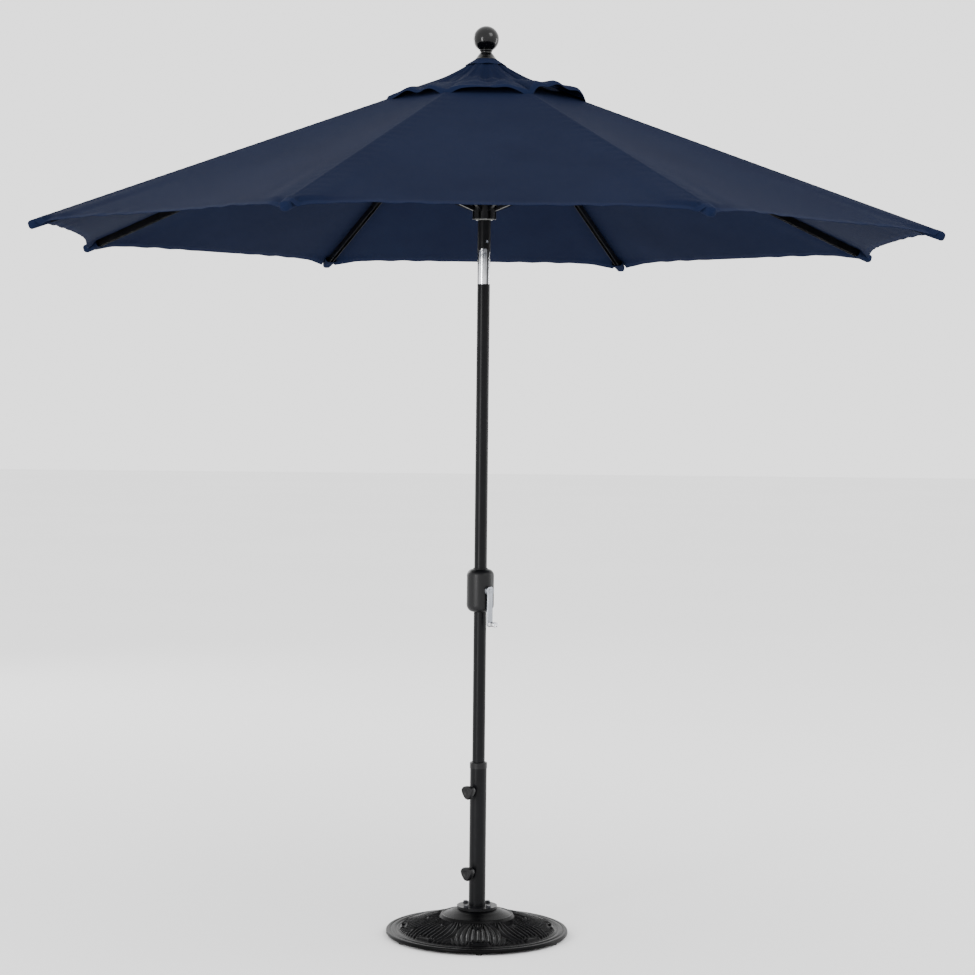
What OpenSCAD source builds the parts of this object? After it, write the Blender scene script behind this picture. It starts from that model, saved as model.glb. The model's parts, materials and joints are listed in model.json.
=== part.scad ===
// Patio umbrella: a vented eight-rib canopy on a crank mast with a tilt joint, in a round cast base.
// The origin is on the floor under the mast, +Z is up, and the umbrella stands open and upright.

/* [Base] */
// Radius of the cast plate
base_r = 271.5; // [230:0.5:320]
// Height of the plate's flat top, where the stem is bolted on
base_top = 80; // [70:1:100]
// Wall of the casting
base_wall = 9; // [6:0.5:12]
// Height of the rubber feet
foot_h = 6; // [4:0.5:10]
// Radius of one foot
foot_r = 9; // [6:0.5:11]
// Number of feet
foot_count = 6; // [3:1:12]
// Radius of the stem's bolted flange
flange_r = 60; // [52:1:66]
// Thickness of the flange
flange_t = 8; // [6:0.5:12]
// Radius of the circle that the flange bolts sit on
bolt_circle_r = 47; // [42:0.5:50]
// Radius of a flange bolt
bolt_r = 4; // [3:0.5:5]

/* [Stem] */
// Outer radius of the stem tube
stem_r = 25; // [23.5:0.5:30]
// Wall of the stem tube
stem_wall = 2; // [1.5:0.1:3]
// Height of the stem's cap above the floor
stem_top = 518; // [420:1:620]
// Height of the upper clamping knob
knob_upper_z = 434; // [330:1:470]
// Height of the lower clamping knob
knob_lower_z = 191; // [150:1:290]
// Radius over a knob's lobes
knob_r = 23; // [18:0.5:28]
// Thickness of a knob
knob_t = 20; // [14:1:26]
// Radius of a knob's screw
knob_screw_r = 4; // [3:0.5:5]
// Direction that the knobs face, from +X
knob_turn = -127; // [-180:1:180]

/* [Mast] */
// Outer radius of the mast tubes
mast_r = 19; // [17.5:0.5:20]
// Wall of the mast tubes
mast_wall = 1.5; // [1.2:0.1:2.5]
// Height of the tilt joint's pivot
tilt_z = 2024; // [1900:1:2050]
// Height of the crank's spindle
crank_z = 1033; // [850:1:1050]
// Radius of the crank housing
housing_r = 40.5; // [38:0.5:46]
// Wall of the crank housing
housing_wall = 3; // [2:0.5:3.5]
// Direction that the crank faces, from +X
crank_turn = -57; // [-180:1:180]
// Length of the crank arm between its two axes
crank_arm_len = 98; // [70:1:130]
// Width of the crank arm
crank_arm_w = 21; // [18:0.5:24]
// Radius of the crank's spindle
spindle_r = 5; // [4:0.5:6]
// Radius that the lift cord winds at on its drum
drum_r = 13; // [10:0.5:14]

/* [Frame] */
// Height of the ribs' pivots in the hub
hub_z = 2553; // [2480:1:2700]
// Height of the finial above its seat on the hub
finial_h = 113; // [90:1:140]
// Slope of the open ribs below level
rib_slope = 20.7; // [17:0.1:24]
// Radius of the canopy at its tips
canopy_r = 1350; // [1150:5:1600]
// Width of a rib channel
rib_w = 13; // [12:0.5:14]
// Wall of a rib channel
rib_wall = 0.8; // [0.6:0.1:1.2]
// Height of a rib channel above its pivot line
rib_up = 13; // [11:0.5:15]
// Length of a strut between its two pivots, and the strut's place along the rib
strut_len = 560; // [480:5:600]
// Width of a strut
strut_w = 9; // [8:0.5:9.5]
// Radius of the runner
runner_r = 35; // [34:0.5:38]

/* [Canopy] */
// Thickness of the cloth
cloth_t = 1; // [0.75:0.25:2]
// Radius of the vent cap over the top opening
vent_r = 320; // [270:5:380]
// Radius of the opening under the vent cap
vent_hole_r = 230; // [180:5:250]
// Depth that the hem curves in between two tips
hem_depth = 45; // [20:1:70]

/* [Hidden] */
$fn = 64;
round_fn = 96;
rib_count = 8;
rib_step = 360 / rib_count;
first_rib = rib_step / 2;

fit = 0.05;            // radial running and seating clearance
air = 0.3;             // clearance between pieces that pass each other
mast_bore = mast_r - mast_wall;
stem_bore = stem_r - stem_wall;
slip_r = mast_r + air; // bores that the mast lifts out through

rim_t = 12;
flange_z = base_top;
stem_z = flange_z + flange_t;
cap_t = 3;
stem_tube_top = stem_top - cap_t;
plug_base_t = 10;
mast_low_z = stem_z + plug_base_t + 2 * air;
boss_r = 9;
boss_end = stem_r + 11;
knob_gap = air;

tube_gap = 33;         // from the spindle's axis to each mast tube's end
housing_low = crank_z - 66;
housing_high = crank_z + 62;
sleeve_r = mast_r + 3.5;
post_reach = 20;
arm_x = housing_r + 6;
arm_t = 7;
arm_hub_r = 11.5;
grip_len = 27;
grip_r = 8;
grip_pin_r = 3;
drum_half = 9;
drum_flange_t = 2;

socket_low = tilt_z - 85;
plug_len = 34;
tongue_half = 4.85;
slot_half = 5;
tilt_pin_r = 4;
knuckle_top = tilt_z + 28;
knuckle_plug_top = knuckle_top + 48;
rivet_z = tilt_z + 40;
tilt_limit = 30;
rivet_r = 2.4;
rivet_turn = -63;

pivot_r = mast_r + 11;
ring_wire_r = 1.4;
rib_bore = 2.3;
rib_eye_r = 7;
rib_down = 7;
rib_len = (canopy_r - 12 - pivot_r) / cos(rib_slope);
rib_slot_w = rib_w + 1;
hub_core_r = pivot_r - rib_eye_r - 0.5;
hub_plate_z = hub_z + rib_up + 1;
hub_top = hub_plate_z + 11;
hub_r = pivot_r + 10;
hub_plate_r = hub_r - 4;
finial_z = hub_top + 6;

runner_pivot_z = hub_z - 2 * strut_len * sin(rib_slope);
runner_low = runner_pivot_z - 27;
runner_high = runner_pivot_z + 16;
strut_pin_r = 2;
strut_pin_half = 8.5;
strut_eye_r = 5;
bracket_pin_r = 3;
bush_bore = mast_r + 1.3;
bush_r = mast_r + 2.85;

cord_r = 1.25;
sheave_r = 11;         // radius of the cord's centre line on the sheave
sheave_z = hub_z - 48;
drop_x = mast_r + 8;
sheave_x = drop_x - sheave_r;

cloth_lift = rib_up + rib_w / 2 * tan(8.4) + air;
apex_z = hub_z + cloth_lift / cos(rib_slope) + pivot_r * tan(rib_slope);

// ---------- shared shapes ----------

// A round bar from point a to point b.
module bar(a, b, r) {
    d = b - a;
    flat = norm([d.x, d.y]);
    translate(a)
        rotate([0, atan2(flat, d.z), atan2(d.y, d.x)])
            cylinder(h = norm(d), r = r);
}

// A round bar along +X from x0 to x1, at height z and offset y.
module x_bar(x0, x1, r, y = 0, z = 0) {
    translate([x0, y, z])
        rotate([0, 90, 0])
            cylinder(h = x1 - x0, r = r);
}

// A round bar along Y from y0 to y1.
module y_bar(y0, y1, r, x = 0, z = 0) {
    translate([x, y1, z])
        rotate([90, 0, 0])
            cylinder(h = y1 - y0, r = r);
}

// A tube from z0 to z1.
module tube(z0, z1, r_out, r_in) {
    translate([0, 0, z0])
        difference() {
            cylinder(h = z1 - z0, r = r_out, $fn = round_fn);
            translate([0, 0, -1])
                cylinder(h = z1 - z0 + 2, r = r_in, $fn = round_fn);
        }
}

// A slab in the XZ plane, w wide about y = 0.
module side_slab(w) {
    translate([0, w / 2, 0])
        rotate([90, 0, 0])
            linear_extrude(height = w)
                children();
}

// Places its children at rib number i's pivot, with +X along the open rib and +Z above it.
module at_rib(i) {
    rotate([0, 0, first_rib + rib_step * (i - 1)])
        translate([pivot_r, 0, hub_z])
            rotate([0, rib_slope, 0])
                children();
}

// ---------- base ----------

// Points of the plate's dome from the rim to its top step, lowered by `down`.
dome_r0 = base_r - 31.5;
dome_r1 = 108;
dome_z0 = foot_h + rim_t;
dome_z1 = base_top - 22;
dome_steps = 8;
function dome(down) = [for (k = [0:dome_steps])
    let (t = k / dome_steps)
    [dome_r0 + (dome_r1 - dome_r0) * t - down * 0.2,
     dome_z0 + (dome_z1 - dome_z0) * (1.2 * t - 0.2 * t * t) - down]];
function reversed(list) = [for (k = [len(list) - 1:-1:0]) list[k]];

module base_plate() {
    rim_z = foot_h + rim_t;
    color("#1b1b1d")
        difference() {
            rotate_extrude($fn = round_fn)
                polygon(concat(
                    [[base_r - 27, foot_h], [base_r - 1.5, foot_h], [base_r, foot_h + 2],
                     [base_r, rim_z - 3], [base_r - 3, rim_z], [base_r - 9, rim_z],
                     [base_r - 11, rim_z - 3], [base_r - 14, rim_z - 3], [base_r - 16, rim_z + 1],
                     [base_r - 26, rim_z + 1], [base_r - 28, rim_z - 1]],
                    dome(0),
                    [[dome_r1 - 1, dome_z1 + 4], [dome_r1 - 6, dome_z1 + 4],
                     [flange_r + 3, base_top - 2], [flange_r + 1, base_top], [15, base_top],
                     [15, base_top - base_wall], [flange_r, base_top - base_wall],
                     [dome_r1 - 8, dome_z1 + 4 - base_wall]],
                    reversed(dome(base_wall))));
            bolt_places()
                translate([0, 0, base_top - 2 * base_wall])
                    cylinder(h = 3 * base_wall, r = bolt_r + fit);
        }
}

module base_feet() {
    color("#101010")
        for (k = [0:foot_count - 1])
            rotate([0, 0, 360 / foot_count * (k + 0.5)])
                translate([base_r - 14, 0, 0])
                    cylinder(h = foot_h, r = foot_r);
}

module bolt_places() {
    for (k = [0:3])
        rotate([0, 0, 45 + 90 * k])
            translate([bolt_circle_r, 0, 0])
                children();
}

module stem_flange() {
    seat_h = 22;
    color("#202022")
        difference() {
            union() {
                translate([0, 0, flange_z])
                    cylinder(h = flange_t, r = flange_r, $fn = round_fn);
                translate([0, 0, stem_z])
                    cylinder(h = seat_h, r = stem_bore - fit);
            }
            translate([0, 0, stem_z])
                cylinder(h = seat_h + 1, r = slip_r);
            translate([0, 0, flange_z - 1])
                cylinder(h = flange_t + 2, r = 8);
            bolt_places()
                translate([0, 0, flange_z - 1])
                    cylinder(h = flange_t + 2, r = bolt_r + 0.5);
        }
}

module flange_bolts() {
    washer_t = 1.6;
    head_h = 5;
    color("#2c2c2e")
        bolt_places() {
            translate([0, 0, flange_z - base_wall])
                cylinder(h = base_wall + flange_t + washer_t, r = bolt_r);
            translate([0, 0, stem_z])
                cylinder(h = washer_t, r = bolt_r * 2.1);
            translate([0, 0, stem_z + washer_t])
                cylinder(h = head_h, r = bolt_r * 1.75, $fn = 6);
        }
}

// ---------- stem and knobs ----------

module knob_places(z) {
    rotate([0, 0, knob_turn])
        translate([0, 0, z])
            children();
}

module stem_tube() {
    color("#202022")
        difference() {
            union() {
                translate([0, 0, stem_z])
                    cylinder(h = stem_tube_top - stem_z, r = stem_r, $fn = round_fn);
                knob_places(knob_upper_z)
                    x_bar(stem_bore, boss_end, boss_r);
                knob_places(knob_lower_z)
                    x_bar(stem_bore, boss_end, boss_r);
            }
            translate([0, 0, stem_z - 1])
                cylinder(h = stem_tube_top - stem_z + 2, r = stem_bore, $fn = round_fn);
            knob_places(knob_upper_z)
                x_bar(0, boss_end + 1, knob_screw_r + fit);
            knob_places(knob_lower_z)
                x_bar(0, boss_end + 1, knob_screw_r + fit);
        }
}

module stem_cap() {
    skirt = 15;
    inner = 24;
    color("#161618")
        rotate_extrude($fn = round_fn)
            polygon([[slip_r, stem_tube_top - inner], [stem_bore - fit, stem_tube_top - inner],
                     [stem_bore - fit, stem_tube_top], [stem_r + fit, stem_tube_top],
                     [stem_r + fit, stem_tube_top - skirt], [stem_r + 1, stem_tube_top - skirt],
                     [stem_r + 1, stem_top - 2], [stem_r - 0.5, stem_top], [slip_r, stem_top]]);
}

// A three-lobed clamping knob with its screw, facing +X.
module knob() {
    x0 = boss_end + knob_gap;
    lobe_r = knob_r * 0.42;
    x_bar(slip_r - 0.1, x0 + 6, knob_screw_r);
    x_bar(x0, x0 + 4, boss_r - 0.5);
    translate([x0 + 3, 0, 0])
        rotate([0, 90, 0])
            linear_extrude(height = knob_t)
                union() {
                    circle(r = knob_r * 0.72);
                    for (k = [0:2])
                        rotate(120 * k)
                            translate([knob_r - lobe_r, 0])
                                circle(r = lobe_r);
                }
}

module knob_upper() {
    color("#141414")
        knob_places(knob_upper_z)
            knob();
}

module knob_lower() {
    color("#141414")
        knob_places(knob_lower_z)
            knob();
}

// ---------- mast ----------

module mast_plug() {
    spigot_top = mast_low_z + 32;
    color("#d8d8d4")
        rotate_extrude($fn = round_fn)
            polygon([[0, stem_z + air], [mast_r - 1, stem_z + air], [mast_r, stem_z + air + 1],
                     [mast_r, mast_low_z - air], [mast_bore - fit, mast_low_z - air],
                     [mast_bore - fit, spigot_top - 2], [mast_bore - 2, spigot_top],
                     [0, spigot_top]]);
}

module mast_lower() {
    color("#1c1c1e")
        tube(mast_low_z, crank_z - tube_gap, mast_r, mast_bore);
}

module mast_middle() {
    color("#1c1c1e")
        tube(crank_z + tube_gap, socket_low, mast_r, mast_bore);
}

// ---------- crank housing ----------

// The housing's wall, turned about the mast: its outer skin less its hollow.
module housing_shell() {
    s = housing_wall;
    lip = tube_gap - 3;
    r = housing_r;
    rotate_extrude($fn = round_fn)
        polygon([[mast_r + fit, housing_low], [sleeve_r, housing_low], [r - 10, housing_low + 4],
                 [r - 3, housing_low + 10], [r, housing_low + 19], [r, housing_high - 20],
                 [r - 2, housing_high - 11], [r - 7, housing_high - 4], [r - 15, housing_high],
                 [mast_r + 3, housing_high], [mast_r + 3, housing_high + 3],
                 [mast_r + fit, housing_high + 3], [mast_r + fit, crank_z + lip],
                 [sleeve_r, crank_z + lip], [sleeve_r, housing_high - s - 1],
                 [r - 15, housing_high - s - 1], [r - 9, housing_high - 6 - s],
                 [r - s - 2, housing_high - 12], [r - s, housing_high - 20],
                 [r - s, housing_low + 19], [r - s - 3, housing_low + 12], [r - 11, housing_low + 7],
                 [sleeve_r, housing_low + 5], [sleeve_r, crank_z - lip],
                 [mast_r + fit, crank_z - lip]]);
}

// The four screw axes, along X.
screw_y = 29.5;
screw_dz = 42;
module screw_places() {
    for (y = [-screw_y, screw_y])
        for (z = [-screw_dz, screw_dz])
            translate([0, y, crank_z + z])
                children();
}

module crank_frame() {
    rotate([0, 0, crank_turn])
        children();
}

half_box = 200;
module housing_front() {
    color("#1a1a1c")
        crank_frame()
            difference() {
                union() {
                    difference() {
                        housing_shell();
                        translate([-half_box, -half_box / 2, housing_low - 5])
                            cube([half_box, half_box, half_box]);
                    }
                    x_bar(housing_r - 8, housing_r + 1, arm_hub_r, 0, crank_z);
                    screw_places()
                        x_bar(0, housing_r * 0.6, 4.5);
                }
                x_bar(housing_r - 20, housing_r + 5, spindle_r + fit, 0, crank_z);
                screw_places()
                    x_bar(-1, 14, 2);
            }
}

module housing_rear() {
    color("#1a1a1c")
        crank_frame()
            difference() {
                union() {
                    difference() {
                        housing_shell();
                        translate([0, -half_box / 2, housing_low - 5])
                            cube([half_box, half_box, half_box]);
                    }
                    x_bar(-housing_r + 1, -post_reach, spindle_r + 4, 0, crank_z);
                    screw_places()
                        x_bar(-housing_r * 0.6, 0, 4.5);
                }
                x_bar(-post_reach - 12, -post_reach + 1, spindle_r + fit, 0, crank_z);
                x_bar(-post_reach - 4, -post_reach + 1, 0.9, 0, crank_z + spindle_r + 2.3);
                screw_places() {
                    x_bar(-housing_r, 1, 2.2);
                    x_bar(-housing_r, -22, 4);
                }
            }
}

module housing_screws() {
    color("#8d8f93")
        crank_frame()
            screw_places() {
                x_bar(-22, 13, 1.95);
                x_bar(-24.5, -22, 3.6);
            }
}

// A closed round wire along a helix about X, with its start tang bent into the rear post.
spring_r = spindle_r + 2.3;
spring_wire = 0.7;
spring_turns = 4;
spring_steps = 16;
spring_pitch = 1.7;
spring_sides = 8;
module brake_spring() {
    count = spring_turns * spring_steps;
    rings = [for (k = [0:count])
        let (a = 360 * k / spring_steps, x = -post_reach + 1.2 + spring_pitch * k / spring_steps)
        [for (j = [0:spring_sides - 1])
            let (b = 360 * j / spring_sides, rr = spring_r + spring_wire * cos(b))
            [x + spring_wire * sin(b), -rr * sin(a), rr * cos(a)]]];
    points = [for (ring = rings) for (p = ring) p];
    n = spring_sides;
    sides = [for (k = [0:count - 1]) for (j = [0:n - 1])
        [k * n + j, k * n + (j + 1) % n, (k + 1) * n + (j + 1) % n, (k + 1) * n + j]];
    color("#9a9ca0")
        crank_frame()
            translate([0, 0, crank_z])
                union() {
                    polyhedron(points, concat([[for (j = [n - 1:-1:0]) j]], sides,
                        [[for (j = [0:n - 1]) count * n + j]]));
                    x_bar(-post_reach - 3.5, -post_reach + 1.3, spring_wire, 0, spring_r);
                }
}

// ---------- crank ----------

module crank_spindle() {
    color("#9a9ca0")
        crank_frame()
            difference() {
                x_bar(-post_reach - 11, arm_x + arm_t, spindle_r, 0, crank_z);
                x_bar(arm_x + arm_t - 14, arm_x + arm_t + 1, 2, 0, crank_z);
            }
}

module cord_drum() {
    hub_r_small = spindle_r + 1.2;
    color("#c9c9c4")
        crank_frame()
            difference() {
                union() {
                    x_bar(-drum_half, drum_half, drum_r, 0, crank_z);
                    x_bar(-drum_half - drum_flange_t, -drum_half, drum_r + 4, 0, crank_z);
                    x_bar(drum_half, drum_half + drum_flange_t, drum_r + 4, 0, crank_z);
                    x_bar(-post_reach + 0.5, -drum_half, hub_r_small, 0, crank_z);
                }
                x_bar(-post_reach, drum_half + drum_flange_t + 1, spindle_r + fit, 0, crank_z);
            }
}

module crank_arm() {
    half = crank_arm_w / 2;
    color("#c4c6ca")
        crank_frame()
            translate([0, 0, crank_z])
                difference() {
                    union() {
                        translate([arm_x, 0, 0])
                            rotate([90, 0, 90])
                                linear_extrude(height = arm_t)
                                    union() {
                                        circle(r = half + 1);
                                        translate([0, -crank_arm_len])
                                            circle(r = half - 1);
                                        polygon([[-half, 0], [half, 0],
                                                 [half - 1, -crank_arm_len],
                                                 [1 - half, -crank_arm_len]]);
                                    }
                        x_bar(housing_r + 1.3, arm_x + 1, arm_hub_r);
                        x_bar(arm_x + 1, arm_x + arm_t + grip_len - 1, grip_pin_r, 0, -crank_arm_len);
                    }
                    x_bar(housing_r, arm_x + arm_t + 1, spindle_r + fit);
                }
}

module arm_screw() {
    color("#d6d8dc")
        crank_frame() {
            x_bar(arm_x + arm_t - 12, arm_x + arm_t, 1.95, 0, crank_z);
            x_bar(arm_x + arm_t, arm_x + arm_t + 2.8, spindle_r + 1.5, 0, crank_z);
        }
}

module crank_grip() {
    x0 = arm_x + arm_t + 0.5;
    x1 = arm_x + arm_t + grip_len;
    color("#cfd1d5")
        crank_frame()
            translate([0, 0, crank_z - crank_arm_len])
                difference() {
                    rotate([0, 90, 0])
                        rotate_extrude()
                            polygon([[0, x0], [grip_r - 1, x0], [grip_r, x0 + 2],
                                     [grip_r - 1, x0 + grip_len / 2], [grip_r, x1 - 2],
                                     [grip_r - 2, x1 + 1], [0, x1 + 1]]);
                    x_bar(x0 - 1, x1 - 0.5, grip_pin_r + fit);
                }
}

// ---------- tilt joint ----------

module tilt_socket() {
    color("#c8cacd")
        difference() {
            union() {
                translate([0, 0, socket_low])
                    cylinder(h = tilt_z - socket_low, r = mast_r, $fn = round_fn);
                intersection() {
                    translate([0, 0, tilt_z - 1])
                        cylinder(h = mast_r + 2, r = mast_r, $fn = round_fn);
                    y_bar(-mast_r, mast_r, mast_r, 0, tilt_z);
                }
                translate([0, 0, socket_low - plug_len])
                    cylinder(h = plug_len + 1, r = mast_bore - fit);
            }
            y_bar(-slot_half, slot_half, mast_r - 1.5, 0, tilt_z);
            translate([-mast_r - 1, -slot_half, tilt_z - 10])
                cube([2 * mast_r + 2, 2 * slot_half, mast_r + 20]);
            y_bar(-mast_r - 1, mast_r + 1, tilt_pin_r + fit, 0, tilt_z);
            translate([0, 0, socket_low - plug_len - 1])
                cylinder(h = tilt_z - socket_low + plug_len, r = 6);
        }
}

module tilt_pins() {
    reach = mast_r - 0.9;
    color("#b5b7bb") {
        y_bar(2.9, reach, tilt_pin_r, 0, tilt_z);
        y_bar(-reach, -2.9, tilt_pin_r, 0, tilt_z);
    }
}

module tilt_knuckle() {
    neck = mast_r - 5;
    color("#1c1c1e")
        difference() {
            union() {
                y_bar(-tongue_half, tongue_half, mast_r - 2, 0, tilt_z);
                translate([-neck, -tongue_half, tilt_z])
                    cube([2 * neck, 2 * tongue_half, knuckle_top - tilt_z - 1]);
                difference() {
                    translate([0, 0, tilt_z])
                        cylinder(h = knuckle_top - tilt_z, r = mast_r, $fn = round_fn);
                    y_bar(-mast_r - 1, mast_r + 1, mast_r + 0.5, 0, tilt_z);
                }
                translate([0, 0, knuckle_top - 1])
                    cylinder(h = knuckle_plug_top - knuckle_top + 1, r = mast_bore - fit);
            }
            y_bar(-mast_r, mast_r, tilt_pin_r + fit, 0, tilt_z);
            translate([0, 0, tilt_z - mast_r])
                cylinder(h = 2 * mast_r + 12, r = cord_r * 2);
            // room for the cord from below as the tongue tilts over it
            translate([0, 0, tilt_z])
                rotate([90, 0, 0])
                    linear_extrude(height = cord_r * 4, center = true)
                        polygon([[-cord_r * 2, 0], [cord_r * 2, 0],
                                 [cord_r * 2 + mast_r * tan(tilt_limit + 2), -mast_r],
                                 [-cord_r * 2, -mast_r]]);
            translate([0, 0, knuckle_top + 2])
                cylinder(h = knuckle_plug_top, r = mast_bore - 5);
            rotate([0, 0, rivet_turn])
                x_bar(-mast_r, mast_r, rivet_r + fit, 0, rivet_z);
        }
}

module knuckle_rivets() {
    head_r = 4;
    color("#b5b7bb")
        for (turn = [0, 180])
            rotate([0, 0, rivet_turn + turn]) {
                x_bar(mast_bore - 6, mast_r + 0.1, rivet_r, 0, rivet_z);
                intersection() {
                    x_bar(mast_r - 0.6, mast_r + 0.9, head_r, 0, rivet_z);
                    translate([0, 0, rivet_z - head_r])
                        tube(0, 2 * head_r, mast_r + 0.9, mast_r);
                }
            }
}

module mast_upper() {
    color("#1c1c1e")
        difference() {
            tube(knuckle_top, hub_z + 8, mast_r, mast_bore);
            rotate([0, 0, rivet_turn])
                x_bar(-mast_r - 1, mast_r + 1, rivet_r + fit, 0, rivet_z);
            translate([0, -3, sheave_z - 17])
                cube([mast_r + 1, 6, 34]);
            y_bar(-mast_r, mast_r, 2, sheave_x, sheave_z);
        }
}

// ---------- lift cord and sheave ----------

module lift_cord_lower() {
    start = [0, drum_r + cord_r + air, crank_z + 3];
    color("#e6e4dc")
        crank_frame()
            bar(start, [0, 0, tilt_z - 4], cord_r);
}

module lift_cord_upper() {
    color("#e6e4dc")
        union() {
            bar([0, 0, tilt_z + 4], [sheave_x - sheave_r, 0, sheave_z], cord_r);
            translate([sheave_x, 0, sheave_z])
                rotate([90, 0, 0])
                    rotate_extrude(angle = 180)
                        translate([sheave_r, 0])
                            circle(r = cord_r);
        }
}

module lift_cord_drop() {
    color("#e6e4dc")
        translate([drop_x, 0, runner_high - 10])
            cylinder(h = sheave_z - runner_high + 10, r = cord_r);
}

module sheave() {
    half = 2;
    color("#d8d8d4")
        difference() {
            y_bar(-half, half, sheave_r + 2, sheave_x, sheave_z);
            y_bar(-half - 1, half + 1, 2 + fit, sheave_x, sheave_z);
            translate([sheave_x, 0, sheave_z])
                rotate([90, 0, 0])
                    rotate_extrude()
                        translate([sheave_r, 0])
                            circle(r = cord_r + air);
            translate([sheave_x, 0, sheave_z])
                rotate([90, 0, 0])
                    rotate_extrude()
                        translate([sheave_r, -cord_r - air])
                            square([4, 2 * cord_r + 2 * air]);
        }
}

module sheave_pin() {
    color("#b5b7bb")
        y_bar(-9.4, 9.4, 2, sheave_x, sheave_z);
}

// ---------- hub, finial, runner ----------

module top_hub() {
    color("#161618")
        difference() {
            union() {
                translate([0, 0, hub_z - 12])
                    cylinder(h = hub_plate_z - hub_z + 12, r = hub_r, $fn = round_fn);
                translate([0, 0, hub_z - 30])
                    cylinder(h = 30, r = hub_core_r);
                translate([0, 0, hub_plate_z])
                    cylinder(h = hub_top - hub_plate_z, r = hub_plate_r);
            }
            translate([0, 0, hub_z - 31])
                cylinder(h = 41, r = mast_r + fit);
            for (i = [1:rib_count])
                rotate([0, 0, first_rib + rib_step * (i - 1)])
                    translate([hub_core_r, -rib_slot_w / 2, hub_z - 20])
                        cube([hub_r, rib_slot_w, hub_plate_z - hub_z + 20]);
            translate([0, 0, hub_z])
                rotate_extrude($fn = round_fn)
                    translate([pivot_r, 0])
                        circle(r = ring_wire_r + fit);
            translate([0, 0, hub_top - 12])
                cylinder(h = 13, r = 5 + fit);
        }
}

module hub_ring() {
    color("#9a9ca0")
        translate([0, 0, hub_z])
            rotate_extrude($fn = round_fn)
                translate([pivot_r, 0])
                    circle(r = ring_wire_r, $fn = 24);
}

module finial() {
    ball_r = 37.8;
    ball_z = finial_z + finial_h - ball_r;
    neck = 19.5;
    color("#0e0e10")
        union() {
            rotate_extrude($fn = round_fn)
                polygon([[0, finial_z - 3.5], [30, finial_z - 3.5], [30, finial_z], [35, finial_z],
                         [35.5, finial_z + 2], [35.5, finial_z + 6], [33, finial_z + 11],
                         [30, finial_z + 16], [26, finial_z + 23], [21, finial_z + 29],
                         [18, finial_z + 34], [18.5, finial_z + 38], [neck, finial_z + 42],
                         [neck, finial_z + 46], [0, finial_z + 46]]);
            translate([0, 0, ball_z])
                sphere(r = ball_r, $fn = round_fn);
            translate([0, 0, hub_top - 11])
                cylinder(h = finial_z - hub_top + 10, r = 5);
        }
}

module runner() {
    color("#161618")
        difference() {
            translate([0, 0, runner_low])
                cylinder(h = runner_high - runner_low, r = runner_r, $fn = round_fn);
            translate([0, 0, runner_low - 1])
                cylinder(h = runner_high - runner_low + 2, r = bush_r + fit);
            for (i = [1:rib_count])
                rotate([0, 0, first_rib + rib_step * (i - 1)]) {
                    translate([pivot_r - strut_eye_r - 1.2, -strut_w / 2 - 0.5, runner_low - 1])
                        cube([runner_r, strut_w + 1, runner_high - runner_low + 2]);
                    translate([pivot_r - 2.5, -strut_pin_half - 0.5, runner_low - 1])
                        cube([5, 2 * strut_pin_half + 1, runner_pivot_z - runner_low + 1 + 2.5]);
                }
            translate([drop_x, 0, runner_high - 11])
                cylinder(h = 12, r = cord_r + 0.1);
        }
}

module runner_bush() {
    color("#dcdcd8")
        rotate_extrude($fn = round_fn)
            polygon([[bush_bore, runner_low - 3], [pivot_r - strut_eye_r - 0.5, runner_low - 3],
                     [pivot_r - strut_eye_r - 0.5, runner_low], [bush_r, runner_low],
                     [bush_r, runner_high + 1], [bush_bore, runner_high + 1]]);
}

// ---------- ribs and struts ----------

module rib(i) {
    roof = rib_up - rib_wall;
    color("#18181a")
        at_rib(i)
            difference() {
                union() {
                    difference() {
                        side_slab(rib_w)
                            union() {
                                circle(r = rib_eye_r);
                                polygon([[0, -rib_down], [rib_len, -rib_down], [rib_len, 2],
                                         [rib_len - 14, rib_up], [16, rib_up], [0, rib_eye_r]]);
                            }
                        side_slab(rib_w - 2 * rib_wall)
                            polygon([[9, -rib_down - 1], [rib_len - 2, -rib_down - 1],
                                     [rib_len - 2, 1], [rib_len - 14.5, roof], [17, roof],
                                     [9, rib_eye_r + 2]]);
                    }
                    y_bar(-rib_w / 2, rib_w / 2, bracket_pin_r, strut_len, 0);
                }
                y_bar(-rib_w, rib_w, rib_bore, 0, 0);
            }
}

// A strut along +X from its pivot on the rib to its pin in the runner.
module strut_body() {
    top = 5;
    difference() {
        union() {
            difference() {
                side_slab(strut_w)
                    union() {
                        circle(r = 6);
                        polygon([[0, -6], [strut_len, -strut_eye_r], [strut_len, strut_eye_r], [0, 6]]);
                        translate([strut_len, 0])
                            circle(r = strut_eye_r);
                    }
                side_slab(strut_w - 2 * rib_wall)
                    polygon([[12, -8], [strut_len - 14, -8], [strut_len - 14, top - 1],
                             [12, top]]);
            }
            y_bar(-strut_pin_half, strut_pin_half, strut_pin_r, strut_len, 0);
        }
        y_bar(-strut_w, strut_w, bracket_pin_r + fit, 0, 0);
    }
}

module strut(i) {
    color("#18181a")
        at_rib(i)
            translate([strut_len, 0, 0])
                rotate([0, 180 - 2 * rib_slope, 0])
                    strut_body();
}

// ---------- cloth ----------

// Slope of the cloth along the middle of a gore, and the corner between it and the rib.
half_step = rib_step / 2;
mid_slope = atan(tan(rib_slope) / cos(half_step));
along_rib = [cos(rib_slope), 0, -sin(rib_slope)];
along_mid = [cos(mid_slope) * cos(half_step), cos(mid_slope) * sin(half_step), -sin(mid_slope)];
gore_corner = acos(along_rib * along_mid);
gore_up = cross(along_rib, along_mid) / norm(cross(along_rib, along_mid));
gore_across = cross(gore_up, along_rib);

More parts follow.
